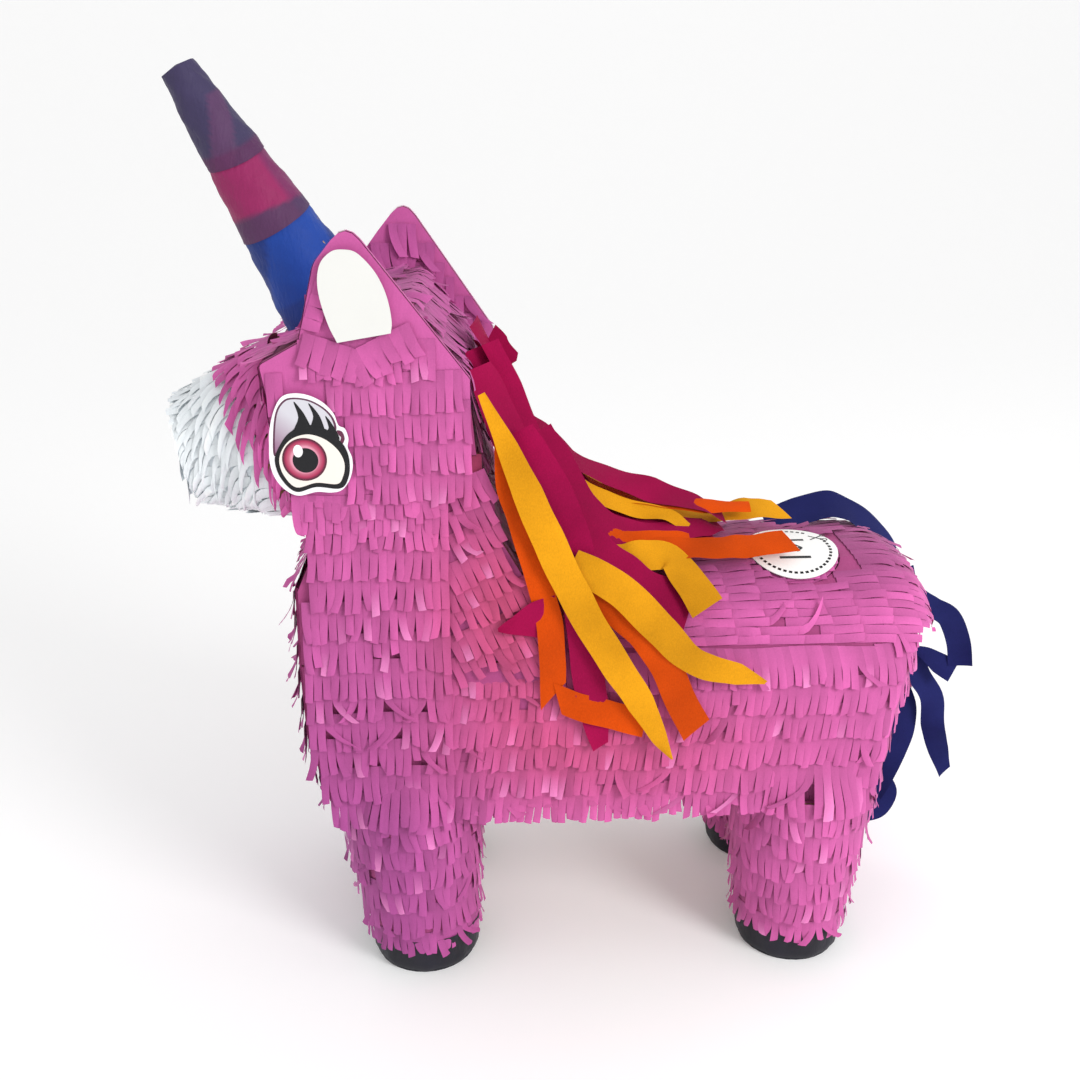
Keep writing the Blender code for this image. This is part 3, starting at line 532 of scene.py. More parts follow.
def strip(layer, chart, first, last, line, cut, keep=None):
    """One strip of cut tissue from u=first to u=last, its top edge at v=line(u)."""
    pitch = cut.pitch / cut.scale_u
    count = max(int(round((last - first) / pitch)), 1)
    u = first + (np.arange(count) + 0.5) * (last - first) / count
    v = line(u) if callable(line) else np.full(count, float(line))
    # A strip is laid in lengths, each a little off the last
    run = np.floor((u - first) * cut.scale_u / RNG.uniform(0.07, 0.16)).astype(int)
    v = v + RNG.normal(0, 0.0011, run.max() + 1)[run]
    phase = RNG.uniform(0, 6.28, 2)
    v = v + 0.0006 * np.sin(u * cut.scale_u * 70 + phase[0])
    rise = RNG.uniform(0, 0.0005, run.max() + 1)[run]
    if keep is not None:
        alive = keep(chart.place(u, v))
        if cut.tips:
            alive &= keep(chart.place(u, v + cut.length * 0.8))
        u, v, rise = u[alive], v[alive], rise[alive]
        count = len(u)
    if count == 0:
        return
    messy = RNG.random(count) < cut.messy
    length = cut.length * (1 + RNG.normal(0, 0.04, count))
    short = RNG.random(count) < cut.torn
    length = np.where(short, length * RNG.uniform(0.55, 0.85, count), length)
    lean = RNG.normal(0, cut.lean, count)
    lean = np.where(messy, RNG.uniform(-0.6, 0.6, count), lean)
    if cut.sweep is not None:
        lean = lean + cut.sweep(u)
    if cut.stop is not None:
        length = np.minimum(length, cut.stop(chart.place(u, v)))
    twist = RNG.normal(0.3 * cut.twist, cut.twist, count)
    twist = np.where(messy, twist * 3.5, twist)
    curl = cut.curl * RNG.normal(1.0, 0.9, count)
    curl = np.where(messy, np.minimum(np.abs(curl) * 2.5 + 0.002, 0.007), curl)
    cup = cut.cup * RNG.normal(1.0, 0.5, count)
    bow = RNG.normal(0.0004, 0.0004, count)

    s = STATIONS[None, :, None]
    c = ACROSS[None, None, :]
    free = np.clip((s - cut.header) / (1 - cut.header), 0, 1)

    def per(values):
        return values[:, None, None]

    half = pitch / 2 * (1 - 0.045 * (free > 0)) * (1 - 0.03 * free)
    sideways = np.tan(per(lean)) * per(length) * free / cut.scale_u
    us = per(u) + c * half + sideways * free
    vs = per(v) + s * per(length) * np.where(free > 0, np.cos(per(lean)), 1.0)
    vs = vs + 0.0006 * c * RNG.normal(0, 1, (count, 1, 1)) * (s > 0.95)
    hs = (cut.base + per(rise) + cut.lift * s + per(curl) * free**2.2
          + per(bow) * np.sin(pi * free)
          + np.sin(per(twist)) * c * cut.pitch / 2 * free
          + per(cup) * (1 - c**2) * free)
    hs = np.maximum(hs, cut.base * 0.6)
    points = chart.place(us, vs)
    points = points + chart.normal(us, vs) * hs[..., None]
    colour = cut.colour(points)
    tone = 1 + RNG.normal(0, cut.tone, count)
    # Painted shade: each tab darker at its root, under the row above, and lighter at its tip; one
    # edge of a twisted tab carries a painted highlight, the other painted shade. The tone is the
    # tab's own random tone.
    tone_and_shade = per(tone) * (0.86 + 0.17 * s) * (1 + 0.05 * c * np.sign(per(twist)))
    pale = (RNG.random(count) < 0.10) * RNG.uniform(0.2, 0.7, count)
    if cut.colour is pink_at:
        colour = colour + (PINK_PALE - colour) * (per(pale) * free)[..., None]
    layer.grids(points, colour * tone_and_shade[..., None])


def hits(node, direction, reach=0.03):
    """A test that a point lies over a CAD node, looking along a direction."""
    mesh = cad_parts[node].data
    tree = BVHTree.FromPolygons(
        [tuple(v.co) for v in mesh.vertices], [tuple(p.vertices) for p in mesh.polygons]
    )
    way = Vector(direction).normalized()

    def test(points):
        found = []
        for point in points.reshape(-1, 3):
            start = Vector(point) - way * reach
            found.append(tree.ray_cast(start, way, 2 * reach)[0] is not None)
        return np.array(found).reshape(points.shape[:-1])
    return test


def make_edges(layer, node, out, paint):
    """Tissue folded over a card's cut edges."""
    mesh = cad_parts[node].data
    for face in mesh.polygons:
        if abs(face.normal.y) > 0.3:
            continue
        corners = np.array([mesh.vertices[i].co[:] for i in face.vertices])
        normal = np.array(face.normal[:])
        middle = corners.mean(0)
        spread = (corners - middle) * (1.0, 1.35, 1.0)
        layer.polygon(middle + spread + normal * out, paint)


ROW = 0.0215
PINK_TISSUE = tissue_shader("pink_tissue_look")
FLUFF = Cut()
BODY = BodyChart()


def flank_us(z, x):
    """Where the body chart's lines pass a station on each flank, as a distance."""
    i = np.argmin(np.abs(BODY.levels - z))
    row = BODY.table[i]
    left = row[:, 1] < 0
    return abs(np.interp(x, row[left][:, 0], BODY.us[left]))


LEG_TOPS = [(FRONT_X + FRONT_RAKE, FRONT_LEG_RADIUS), (REAR_X + REAR_RAKE, REAR_LEG_RADIUS)]
COLLAR = FLUFF.changed(base=0.0012, length=0.041, lean=3.5, header=0.3, lift=0.0020,
                       messy=0.06)


def over_legs(chart):
    """The surface drawn outwards where the wider tops of the legs stand under it."""
    def place(u, v):
        points = chart.place(u, v).copy()
        share = np.clip((COLLAR_Z - points[..., 2]) / (COLLAR_Z - LEG_TOP_Z), 0, 1)[..., None]
        for x, radius in LEG_TOPS:
            for side in (LEFT, RIGHT):
                centre = np.array([x, side * LEG_TOP_Y])
                way = points[..., :2] - centre
                away = np.maximum(np.linalg.norm(way, axis=-1, keepdims=True), 1e-6)
                rim = centre + way / away * (radius + TISSUE + 0.0006)
                inside = away < radius + TISSUE + 0.0006
                points[..., :2] += np.where(inside, (rim - points[..., :2]) * share, 0.0)
        return points
    made = Chart(place, (0, 0.2), (0, 0, 0))
    made.turn = chart.turn
    return made


def near_leg(points):
    found = np.zeros(points.shape[:-1], bool)
    for x, radius in LEG_TOPS:
        for side in (LEFT, RIGHT):
            away = np.hypot(points[..., 0] - x, points[..., 1] - side * LEG_TOP_Y)
            found |= away < radius + 0.004
    return found


def make_side(side, word):
    layer = Layer()
    layer.node(f"{word}_side_fringe", PINK_SHADED_BACKING)
    layer.wrap(f"{word}_side_panel", GLUED, PINK_SHADED_BACKING)
    rows = np.arange(FIRST_ROW_Z, 0.292, ROW * 0.98)
    for z in rows:
        far = flank_us(z, COLUMN_X - 0.004)
        near = flank_us(z, RUMP_X)
        first, last = (-far, -near) if side == LEFT else (near, far)
        messy = 0.03 if z > 0.2 else 0.08
        strip(layer, BODY, first, last, -z, FLUFF.changed(messy=messy))
    # The ragged pale edge over the belly
    far, near = flank_us(0.16, COLUMN_X + 0.010), flank_us(0.16, REAR_X - 0.045)
    first, last = (-far, -near) if side == LEFT else (near, far)
    strip(layer, BODY, first, last, -0.1635,
          FLUFF.changed(lean=7, messy=0.16, torn=0.2, length=0.020, base=-0.0016, pitch=0.009))
    wall = neck_wall(side)
    for left, right in ((-0.204, -0.094), (0.100, 0.196)):
        strip(layer, over_legs(wall), left, right, -COLLAR_Z, COLLAR, near_leg)
    keep = hits(f"{word}_side_panel", (0, -side, 0))
    for z in np.arange(FIRST_ROW_Z, SCORE_Z + 0.004, ROW):
        strip(layer, wall, -0.232, COLUMN_X, -z,
              FLUFF.changed(base=0.0032, messy=0.09, lean=4), keep)
    return layer.piece(f"{word}_side_tissue", PINK_TISSUE, replaces=[f"{word}_side_fringe"])


def make_neck(side, word):
    layer = Layer()
    layer.node(f"{word}_neck_fringe", PINK_SHADED_BACKING)
    wall = neck_wall(side)
    keep = hits(f"{word}_neck_panel", (0, -side, 0))
    turn = rotated(wall, (COLUMN_X, -0.30), -0.42)
    small = FLUFF.changed(pitch=0.0062, length=0.022, messy=0.05, lean=3)

    def behind_column(points):
        return keep(points) & (points[..., 0] > COLUMN_X - 0.004)

    for v in np.arange(-0.19, 0.09, 0.0165):
        strip(layer, turn, -0.02, 0.10, v, small, behind_column)
    for z in np.arange(FIRST_ROW_Z + 5 * ROW, HEAD_Z + 0.035, ROW):
        strip(layer, wall, -0.232, COLUMN_X, -z,
              FLUFF.changed(base=0.0032, messy=0.07, lean=3.5), keep)
    # The neck panel's backing is a darker warm pink: painted shade seen in the gaps between the
    # tabs
    layer.wrap(f"{word}_neck_panel", GLUED, PINK_WARM_SHADED * 0.8)
    return layer.piece(f"{word}_neck_tissue", PINK_TISSUE, replaces=[f"{word}_neck_fringe"])


def make_head(side, word):
    layer = Layer()
    layer.node(f"{word}_head_fringe", PINK)
    wall = head_wall(side)
    keep = hits(f"{word}_head_panel", (0, -side, 0))
    neat = FLUFF.changed(messy=0.012, lean=2.2, header=0.50, pitch=0.0056)

    def clear_of_eye(points):
        across, up = points[..., 0] - EYE_X, points[..., 2] - EYE_Z - 0.012
        return keep(points) & (np.hypot(across / 0.0295, up / 0.0435) > 1)

    for z in np.arange(HEAD_Z + 0.0045, FACE_TOP_Z + 0.020, ROW):
        strip(layer, wall, -0.245, -0.07, -z, neat, clear_of_eye)
    make_ear_strips(layer, side, keep, RIGHT_EAR_LEAN if side == RIGHT else 0.0)
    layer.wrap(f"{word}_head_panel", GLUED, PINK)
    make_edges(layer, f"{word}_head_fringe", 0.0006, PINK)
    return layer.piece(f"{word}_head_tissue", PINK_TISSUE, replaces=[f"{word}_head_fringe"])


def make_back():
    layer = Layer()
    layer.node("back_fringe", PINK_SHADED_BACKING)
    chart = arch_chart()
    reach = 0.118

    def before_flap(points):
        """Room ahead of a tab before it would cross the edge of the fill flap."""
        away_x = points[..., 0] - FILL_X
        away_y = points[..., 1] + FILL_OFFSET
        half = np.sqrt(np.maximum(FLAP_RADIUS**2 - away_y**2, 0.0))
        room = np.where((half > 0) & (away_x < 0), -half - away_x, 1.0)
        return np.maximum(room, 0.001)

    def clear_of_flap(points):
        away = np.hypot(points[..., 0] - FILL_X, points[..., 1] + FILL_OFFSET)
        return (away > FLAP_RADIUS) & (points[..., 2] > 0.268) & (before_flap(points) > 0.004)

    wide = Cut(pitch=0.0066, length=0.031, header=0.36, lean=1.5, messy=0.02, lift=0.0016,
               curl=0.0006, cup=0.0004, twist=4, stop=before_flap, colour=shaded_top_pink_at)
    for x in np.arange(WITHERS_X + 0.002, RUMP_X + 0.004, 0.0235):
        strip(layer, chart, -reach, reach, lambda u: x + 0.25 * np.abs(u) ** 1.3, wide,
              clear_of_flap)

    def on_top(points):
        return clear_of_flap(points) & (points[..., 2] > 0.282)

    for x in (0.2165, 0.2330):
        strip(layer, chart, -reach, reach, x, wide.changed(length=0.024, messy=0.06), on_top)
    return layer.piece("back_tissue", PINK_TISSUE, replaces=["back_fringe"])


def make_rump():
    layer = Layer()
    layer.node("rump_fringe", PINK_SHADED_BACKING)
    near = flank_us(0.18, RUMP_X - 0.002)
    strip(layer, over_legs(BODY), -near, near, -COLLAR_Z, COLLAR, near_leg)
    for z in np.arange(FIRST_ROW_Z, 0.315, ROW * 0.98):
        near = flank_us(z, RUMP_X - 0.002)
        strip(layer, BODY, -near, near, -z, FLUFF.changed(messy=0.14, lean=5, torn=0.08))
    return layer.piece("rump_tissue", PINK_TISSUE, replaces=["rump_fringe"])


def make_chest():
    layer = Layer()
    layer.node("chest_fringe", PINK_SHADED_BACKING)
    layer.wrap("chest_panel", GLUED, PINK_SHADED_BACKING)
    profile = [(-0.2066, 0.1555), (-0.2201, 0.210), (-0.2221, SCORE_Z), (-0.2221, 0.325),
               (-0.2111, 0.350), (-0.2106, 0.392)]
    xs, zs = np.array(profile).T

    def place(u, v):
        return np.stack([np.interp(-v, zs, xs) - TISSUE, u, -v], -1)
    chart = Chart(place, (0, -0.3), (-0.15, 0, 0.3))
    for z in np.arange(FIRST_ROW_Z + ROW / 2, HEAD_Z, ROW):
        half = float(neck_half_width(z)) - 0.001
        strip(layer, chart, -half, half, -z, FLUFF.changed(messy=0.16, lean=6, curl=0.002))
    return layer.piece("chest_tissue", PINK_TISSUE, replaces=["chest_fringe"])


def make_leg(word, place_x, rake, top_radius, side, material):
    layer = Layer()
    layer.node(f"{word}_leg_fringe", PINK_SHADED_BACKING)
    chart = cone_chart(
        (place_x, side * LEG_FOOT_Y, 0.0018), (place_x + rake, side * LEG_TOP_Y, LEG_TOP_Z),
        0.0377 + TISSUE, top_radius + TISSUE)
    tabs = FLUFF.changed(messy=0.09, lean=4, torn=0.08)
    for v in np.arange(0.002, 0.105, ROW * 0.97):
        strip(layer, chart, -pi, pi, v, tabs.changed(scale_u=top_radius - 0.11 * v))
    if side == LEFT or "rear" in word:
        strip(layer, chart, -pi, pi, 0.112, tabs.changed(scale_u=0.046, length=0.018, lean=6))
    layer.wrap(f"{word}_leg_tube", GLUED, PINK_SHADED_BACKING)
    layer.piece(f"{word}_leg_tissue", PINK_TISSUE, replaces=[f"{word}_leg_fringe"])
    make_hoof(word, place_x, side, material)


def make_hoof(word, place_x, side, material):
    """Black tissue wound round the foot of the leg, with a few creases, drawn in at the bottom
    edge.
    """
    hoof = Layer()
    hoof.node(f"{word}_hoof_cup", BLACK_TISSUE)
    middle = side * LEG_FOOT_Y
    chart = cone_chart((place_x, middle, 0.0), (place_x, middle, 0.032), 0.0402, 0.0424)
    u, v = np.meshgrid(np.linspace(0, 2 * pi, 73), np.linspace(0.0, 0.0315, 9))
    phase = RNG.uniform(0, 6.28, 3)
    crease = (0.0005 * np.sin(9 * u + 60 * v + phase[0]) + 0.0004 * np.sin(17 * u + phase[1])
              * np.sin(150 * v + phase[2]))
    rounding = 0.0022 * np.clip((v - 0.026) / 0.0055, 0, 1) ** 2
    points = chart.place(u, v) + chart.normal(u, v) * (0.0012 + crease - rounding)[..., None]
    tone = (1 + 0.25 * np.sin(5 * u + phase[1]) * np.sin(90 * v))[..., None]
    hoof.grids(points[None], (BLACK_TISSUE * tone)[None])
    hoof.piece(f"{word}_hoof_paper", material, replaces=[f"{word}_hoof_cup"])


for side, word in ((LEFT, "left"), (RIGHT, "right")):
    make_side(side, word)
    make_neck(side, word)
make_back()
make_rump()
make_chest()
BLACK_PAPER = tissue_shader("black_tissue_look", 0.6)
for side, word in ((LEFT, "left"), (RIGHT, "right")):
    make_leg(f"{word}_front", FRONT_X, FRONT_RAKE, FRONT_LEG_RADIUS, side, BLACK_PAPER)
    make_leg(f"{word}_rear", REAR_X, REAR_RAKE, REAR_LEG_RADIUS, side, BLACK_PAPER)


# Head: ears, brow and muzzle


WALL_OUT = HEAD_HALF_WIDTH + TISSUE


def slanted(chart, start, end):
    """The surface turned so that a strip's top edge runs from start to end, in x and z."""
    angle = atan2(start[1] - end[1], end[0] - start[0])
    length = np.hypot(end[0] - start[0], end[1] - start[1])
    return rotated(chart, (start[0], -start[1]), angle), length


def make_ear_strips(layer, side, keep, lean_x):
    """Strips laid along the ear's edges and in a V under its patch."""
    wall = head_wall(side)
    flat = Cut(pitch=0.0080, length=0.030, header=0.45, lean=3, twist=5, lift=0.0016, base=0.0017,
               curl=0.0004, cup=0.0003, messy=0.0, torn=0.03)
    lines = [
        ((-0.172 + lean_x, 0.576), (-0.128 + lean_x * 0.6, 0.519), 0.030),
        ((-0.140 + lean_x * 0.6, 0.532), (-0.098 + lean_x * 0.2, 0.478), 0.028),
        ((-0.2145, 0.508), (-0.168 + lean_x * 0.5, 0.4935), 0.022),
        ((-0.180 + lean_x * 0.5, 0.4935), (-0.138 + lean_x * 0.5, 0.513), 0.024),
    ]
    for start, end, length in lines:
        chart, run = slanted(wall, start, end)
        strip(layer, chart, 0.0, run, 0.0, flat.changed(length=length, tips=True), keep)
    # Along the ear's front edge the tabs point back, away from the horn
    start, end = (-0.2115, 0.502), (-0.194 + lean_x, 0.556)
    front, run = slanted(wall, end, start)
    strip(layer, Chart(lambda u, v: front.place(u, -v), (0.01, 0.01), (-0.2, 0, 0.5)),
          0.0, run, 0.0, flat.changed(length=0.012, tips=True, base=0.0004, curl=0.0), keep)


def thick_outline(layer, outline, y, out, thickness, paint):
    """A flat card or paper seen from the side: its face and its edge."""
    outline = np.asarray(outline, float)
    side = 1 if y > 0 else -1
    near, far = y + side * out, y + side * (out + thickness)
    face = np.stack([outline[:, 0], np.full(len(outline), far), outline[:, 1]], -1)
    back = face.copy()
    back[:, 1] = near
    layer.polygon(face, paint)
    ring = np.stack([np.vstack([back, back[:1]]), np.vstack([face, face[:1]])])
    layer.grids(ring[None], paint)


def smooth_loop(points, steps=6):
    """A closed smooth line through points."""
    points = np.asarray(points, float)
    n = len(points)
    t = np.arange(steps)[:, None] / steps
    line = []
    for i in range(n):
        a, b, c, d = (points[(i + k) % n] for k in (-1, 0, 1, 2))
        line.append(0.5 * (2 * b + (c - a) * t + (2 * a - 5 * b + 4 * c - d) * t**2
                           + (3 * b - a - 3 * c + d) * t**3))
    return np.concatenate(line)


PATCH = np.array([
    (-0.1844, 0.5006), (-0.1895, 0.5122), (-0.1941, 0.5294), (-0.1948, 0.5425),
    (-0.1918, 0.5527), (-0.1848, 0.5591), (-0.1773, 0.5602), (-0.1690, 0.5581),
    (-0.1592, 0.5479), (-0.1531, 0.5366), (-0.1498, 0.5253), (-0.1484, 0.5138),
    (-0.1493, 0.5065)])
PATCH_WHITE = linear(222, 222, 218)


def arc_between(points, steps=5):
    """An open smooth line through points."""
    points = np.asarray(points, float)
    padded = np.vstack([2 * points[0] - points[1], points, 2 * points[-1] - points[-2]])
    line = []
    for i in range(1, len(padded) - 2):
        a, b, c, d = padded[i - 1:i + 3]
        t = np.arange(steps)[:, None] / steps
        line.append(0.5 * (2 * b + (c - a) * t + (2 * a - 5 * b + 4 * c - d) * t**2
                           + (3 * b - a - 3 * c + d) * t**3))
    return np.vstack([*line, points[-1]])


def make_patch(side, word, lean_x):
    layer = Layer()
    outline = arc_between(PATCH)
    if side == RIGHT:
        middle = outline[:, 0].mean()
        rise = np.clip((outline[:, 1] - 0.49) / 0.083, 0, 1)
        outline[:, 0] = middle + (outline[:, 0] - middle) * 0.74 + lean_x * rise
    thick_outline(layer, outline, side * WALL_OUT, PRINT_OUT, PAPER_THICKNESS,
                  PATCH_WHITE)
    layer.piece(f"{word}_ear_paper", PAPER, replaces=[f"{word}_ear_patch"], smooth=False)


# The printed eye, in millimetres from the sticker's middle
STICKER = [(-15.3, 35.2), (-7.4, 37.7), (2.2, 36.4), (11.6, 31.5), (18.4, 23.8), (21.2, 15.7),
           (25.4, 13.2), (27.4, 6.4), (26.6, 0.3), (29.1, -6.9), (29.0, -15.2), (26.2, -23.6),
           (20.9, -29.8), (13.8, -31.4), (3.9, -30.8), (-8.3, -33.3), (-16.9, -29.1),
           (-23.3, -20.7), (-26.0, -10.3), (-25.7, 2.0), (-24.6, 13.2), (-20.8, 26.3)]
LID = [(-22.6, -5.2), (-22.4, 10.2), (-19.6, 25.1), (-14.2, 32.9), (-7.5, 34.9), (3.1, 33.2),
       (12.8, 27.4), (18.6, 19.9), (19.2, 12.0), (9.0, 14.0), (-4.0, 14.0), (-14.0, 8.0)]
BAND = [(-22.6, -8.3), (-19.2, 1.2), (-11.4, 11.2), (0.9, 16.3), (12.8, 13.1), (20.2, 6.6),
        (25.0, 0.4), (27.4, -9.0), (26.2, -20.4), (20.4, -28.4), (4.1, -27.2), (-9.8, -30.4),
        (-19.3, -20.8)]
SCLERA = [(-19.6, -8.3), (-16.2, 0.9), (-9.4, 7.3), (0.5, 9.8), (10.2, 7.1), (17.6, 1.5),
          (22.1, -4.8), (24.0, -12.1), (22.4, -20.0), (18.1, -25.2), (4.3, -24.1),
          (-9.3, -27.2), (-17.2, -18.7)]
LASHES = [[(-7.4, 32.2), (-3.0, 27.1), (0.2, 21.5), (2.4, 13.3), (-8.1, 12.2), (-4.9, 21.5)],
          [(2.2, 31.2), (7.7, 24.9), (10.6, 18.6), (11.6, 10.8), (2.9, 13.2), (5.0, 22.2)],
          [(12.9, 22.4), (17.6, 16.0), (21.6, 5.8), (12.4, 9.9), (14.8, 14.2)]]
HOOK = [(20.0, 12.2), (23.4, 11.4), (25.0, 6.8), (23.6, 3.2), (21.6, 3.6), (22.6, 7.2),
        (21.0, 9.4)]
INK = linear(9, 8, 15)


def make_eye(side, word):
    """A printed cartoon eye of plain shapes: lid, lashes, white, iris and pupil."""
    layer = Layer()
    y = side * WALL_OUT
    step = 0.00012

    def place(points):
        return np.asarray(points) / 1000 + (EYE_X, EYE_Z)

    def flat(points, level, paint):
        points = place(points)
        layer.polygon(np.stack([points[:, 0], np.full(len(points), y + side * level),
                                points[:, 1]], -1), paint)

    def disc(centre, radii, level, paints, squash=1.0):
        turn = np.linspace(0, 2 * pi, 49)
        rings = []
        for radius in radii:
            ring = np.stack([centre[0] + radius * np.cos(turn),
                             centre[1] + radius * squash * np.sin(turn)], -1)
            ring = place(ring)
            rings.append(np.stack([ring[:, 0], np.full(49, y + side * level), ring[:, 1]], -1))
        layer.grids(np.array(rings)[None], np.array(paints)[:, None, :][None])

    base = PRINT_OUT
    thick_outline(layer, place(smooth_loop(STICKER)), y, base - PAPER_THICKNESS,
                  PAPER_THICKNESS, linear(244, 243, 246))
    base += 0.00003
    lid = smooth_loop(LID)
    flat(lid, base + step, linear(92, 48, 74))
    # The lid's shading runs from plum at the corner to grey near the lashes
    rings, paints = [], []
    for share in np.linspace(0.93, 0.02, 9):
        ring = place(lid * share + np.array([-3.0, 19.0]) * (1 - share))
        rings.append(np.stack([ring[:, 0], np.full(len(ring), y + side * (base + 1.6 * step)),
                               ring[:, 1]], -1))
        local = (ring - (EYE_X, EYE_Z)) * 1000
        grey = np.clip((local[:, 1] - 2 + 0.8 * local[:, 0] + 18) / 30, 0, 1)[:, None]
        paints.append(linear(150, 108, 138) * (1 - grey) + linear(206, 204, 212) * grey)
    rings, paints = np.array(rings), np.array(paints)
    rings = np.concatenate([rings, rings[:, :1]], 1)
    paints = np.concatenate([paints, paints[:, :1]], 1)
    layer.grids(rings[None], paints[None])
    for lash in LASHES:
        flat(smooth_loop(lash, 4), base + 2.4 * step, INK)
    flat(smooth_loop(HOOK, 4), base + 2.4 * step, linear(96, 40, 66))
    flat(smooth_loop(BAND), base + 3 * step, INK)
    flat(smooth_loop(SCLERA), base + 4 * step, linear(236, 228, 220))
    iris = (-2.6, -7.6)
    dark, mid, glow = linear(84, 22, 48), linear(170, 44, 84), linear(224, 150, 172)
    disc(iris, (15.0, 14.1, 12.6, 10.6, 8.9, 0.01), base + 5 * step,
         (dark, dark, mid, mid * 0.7 + glow * 0.3, glow, glow))
    disc((-2.0, -8.2), (8.6, 0.01), base + 6 * step, (INK, INK))
    disc((-6.6, -1.6), (3.2, 0.01), base + 7 * step, (linear(246, 244, 246),) * 2, 1.35)
    layer.piece(f"{word}_eye_print", STICKER_PAPER, replaces=[f"{word}_eye_sticker"],
                smooth=False)


MUZZLE_ROOT = np.array([-0.22676, 0.0, 0.41779])
PROFILE = np.array([(-0.2374, 0.485), (-0.1741, 0.5215), (-0.1361, 0.5215), (-0.1001, 0.4742),
                    (-0.0951, 0.420), (-0.0911, 0.400), (-0.0826, 0.365), (-0.0639, 0.333),
                    (-0.0525, 0.319)])


def crown_chart():
    """Over the brow, the poll and the slope behind the ears: v runs to the rear."""
    run = np.concatenate([[0], np.cumsum(np.linalg.norm(np.diff(PROFILE, axis=0), axis=1))])

    def place(u, v):
        out = 0.0006
        x = np.interp(v, run, PROFILE[:, 0])
        z = np.interp(v, run, PROFILE[:, 1]) + out
        over = np.maximum(v - run[-1], 0)
        under = np.maximum(-v, 0)
        return np.stack([x - under * 0.9, u, z - over - under * 0.6], -1)
    return Chart(place, (0, 0.09), (-0.15, 0, 0.45)), run


def make_face_rows(layer):
    """Rows across the face, round the root of the muzzle."""
    def place(u, v):
        z = -v
        x = MUZZLE_ROOT[0] - 0.0006 - (z - MUZZLE_ROOT[2]) * tan(FACE_TILT)
        return np.stack([x, u, z], -1)
    chart = Chart(place, (0, -0.45), (-0.15, 0, 0.45))

    def clear_of_muzzle(points):
        return np.linalg.norm(points - MUZZLE_ROOT, axis=-1) > 0.066
    half = HEAD_HALF_WIDTH - 0.002
    for z in (0.4835, 0.465, 0.4465, 0.428, 0.4095):
        strip(layer, chart, -half, half, -z, FLUFF.changed(length=0.025), clear_of_muzzle)


def make_crown():
    layer = Layer()
    chart, run = crown_chart()
    half = HEAD_HALF_WIDTH - 0.004
    # Darker, bluer tabs: painted shade on the poll, the slope behind the ears and the ears' inner
    # faces
    shaded_mauve = Cut(pitch=0.0072, length=0.027, header=0.25, messy=0.08, lean=4, lift=0.003,
                colour=lambda p: pink_at(p) * (0.86, 0.84, 0.90))
    grid_u, grid_v = np.meshgrid(np.linspace(-0.084, 0.084, 9), np.linspace(0, run[-1], 40))
    layer.grids((chart.place(grid_u, grid_v))[None], PINK_SHADED_BACKING)

    def clear_of_horn(points):
        return np.hypot(points[..., 0] + 0.2005, points[..., 1]) > 0.037
    for v in np.arange(run[1], run[-1] - 0.012, ROW * 0.95):
        reach = half if v < run[4] - 0.012 else 0.083
        strip(layer, chart, -reach, reach, v, shaded_mauve, clear_of_horn)

    # The brow's strips point down to the muzzle
    forward = Chart(lambda u, v: chart.place(u, run[1] - v), (0, 0.03), (-0.2, 0, 0.45))
    for v in np.arange(0.004, run[1] - 0.006, ROW * 0.9):
        strip(layer, forward, -half, half, v,
              FLUFF.changed(messy=0.07, lean=5, lift=0.003, tone=0.10, length=0.024,
                            colour=bright_pink_at), clear_of_horn)
    # Inner faces of both ears
    for side in (LEFT, RIGHT):
        y = side * (HEAD_HALF_WIDTH - 0.0050)
        inner = Chart(lambda u, v, y=y: np.stack([u, np.full_like(u, y), -v], -1),
                      (0, -0.5), (0, 2 * y, 0.5))
        keep = hits(f"{'left' if side == LEFT else 'right'}_head_panel", (0, side, 0))
        for z in (0.583, 0.571, 0.557, 0.543, 0.529, 0.515, 0.501, 0.487):
            strip(layer, inner, -0.235, -0.06, -z,
                  shaded_mauve.changed(messy=0.24, lean=9, length=0.026, header=0.1, base=0.001),
                  keep)
    make_face_rows(layer)
    # The crest's backing is darker still: painted shade in the gaps on the slope behind the head
    layer.wrap("crest_panel", GLUED, PINK_SHADED_BACKING * 0.8)
    layer.wrap("head_top_panel", GLUED, PINK_SHADED_BACKING)
    layer.piece("crown_tissue", PINK_TISSUE)


MUZZLE_AXIS = np.array([-cos(FACE_TILT), 0.0, -sin(FACE_TILT)])
MUZZLE_LENGTH = 0.082


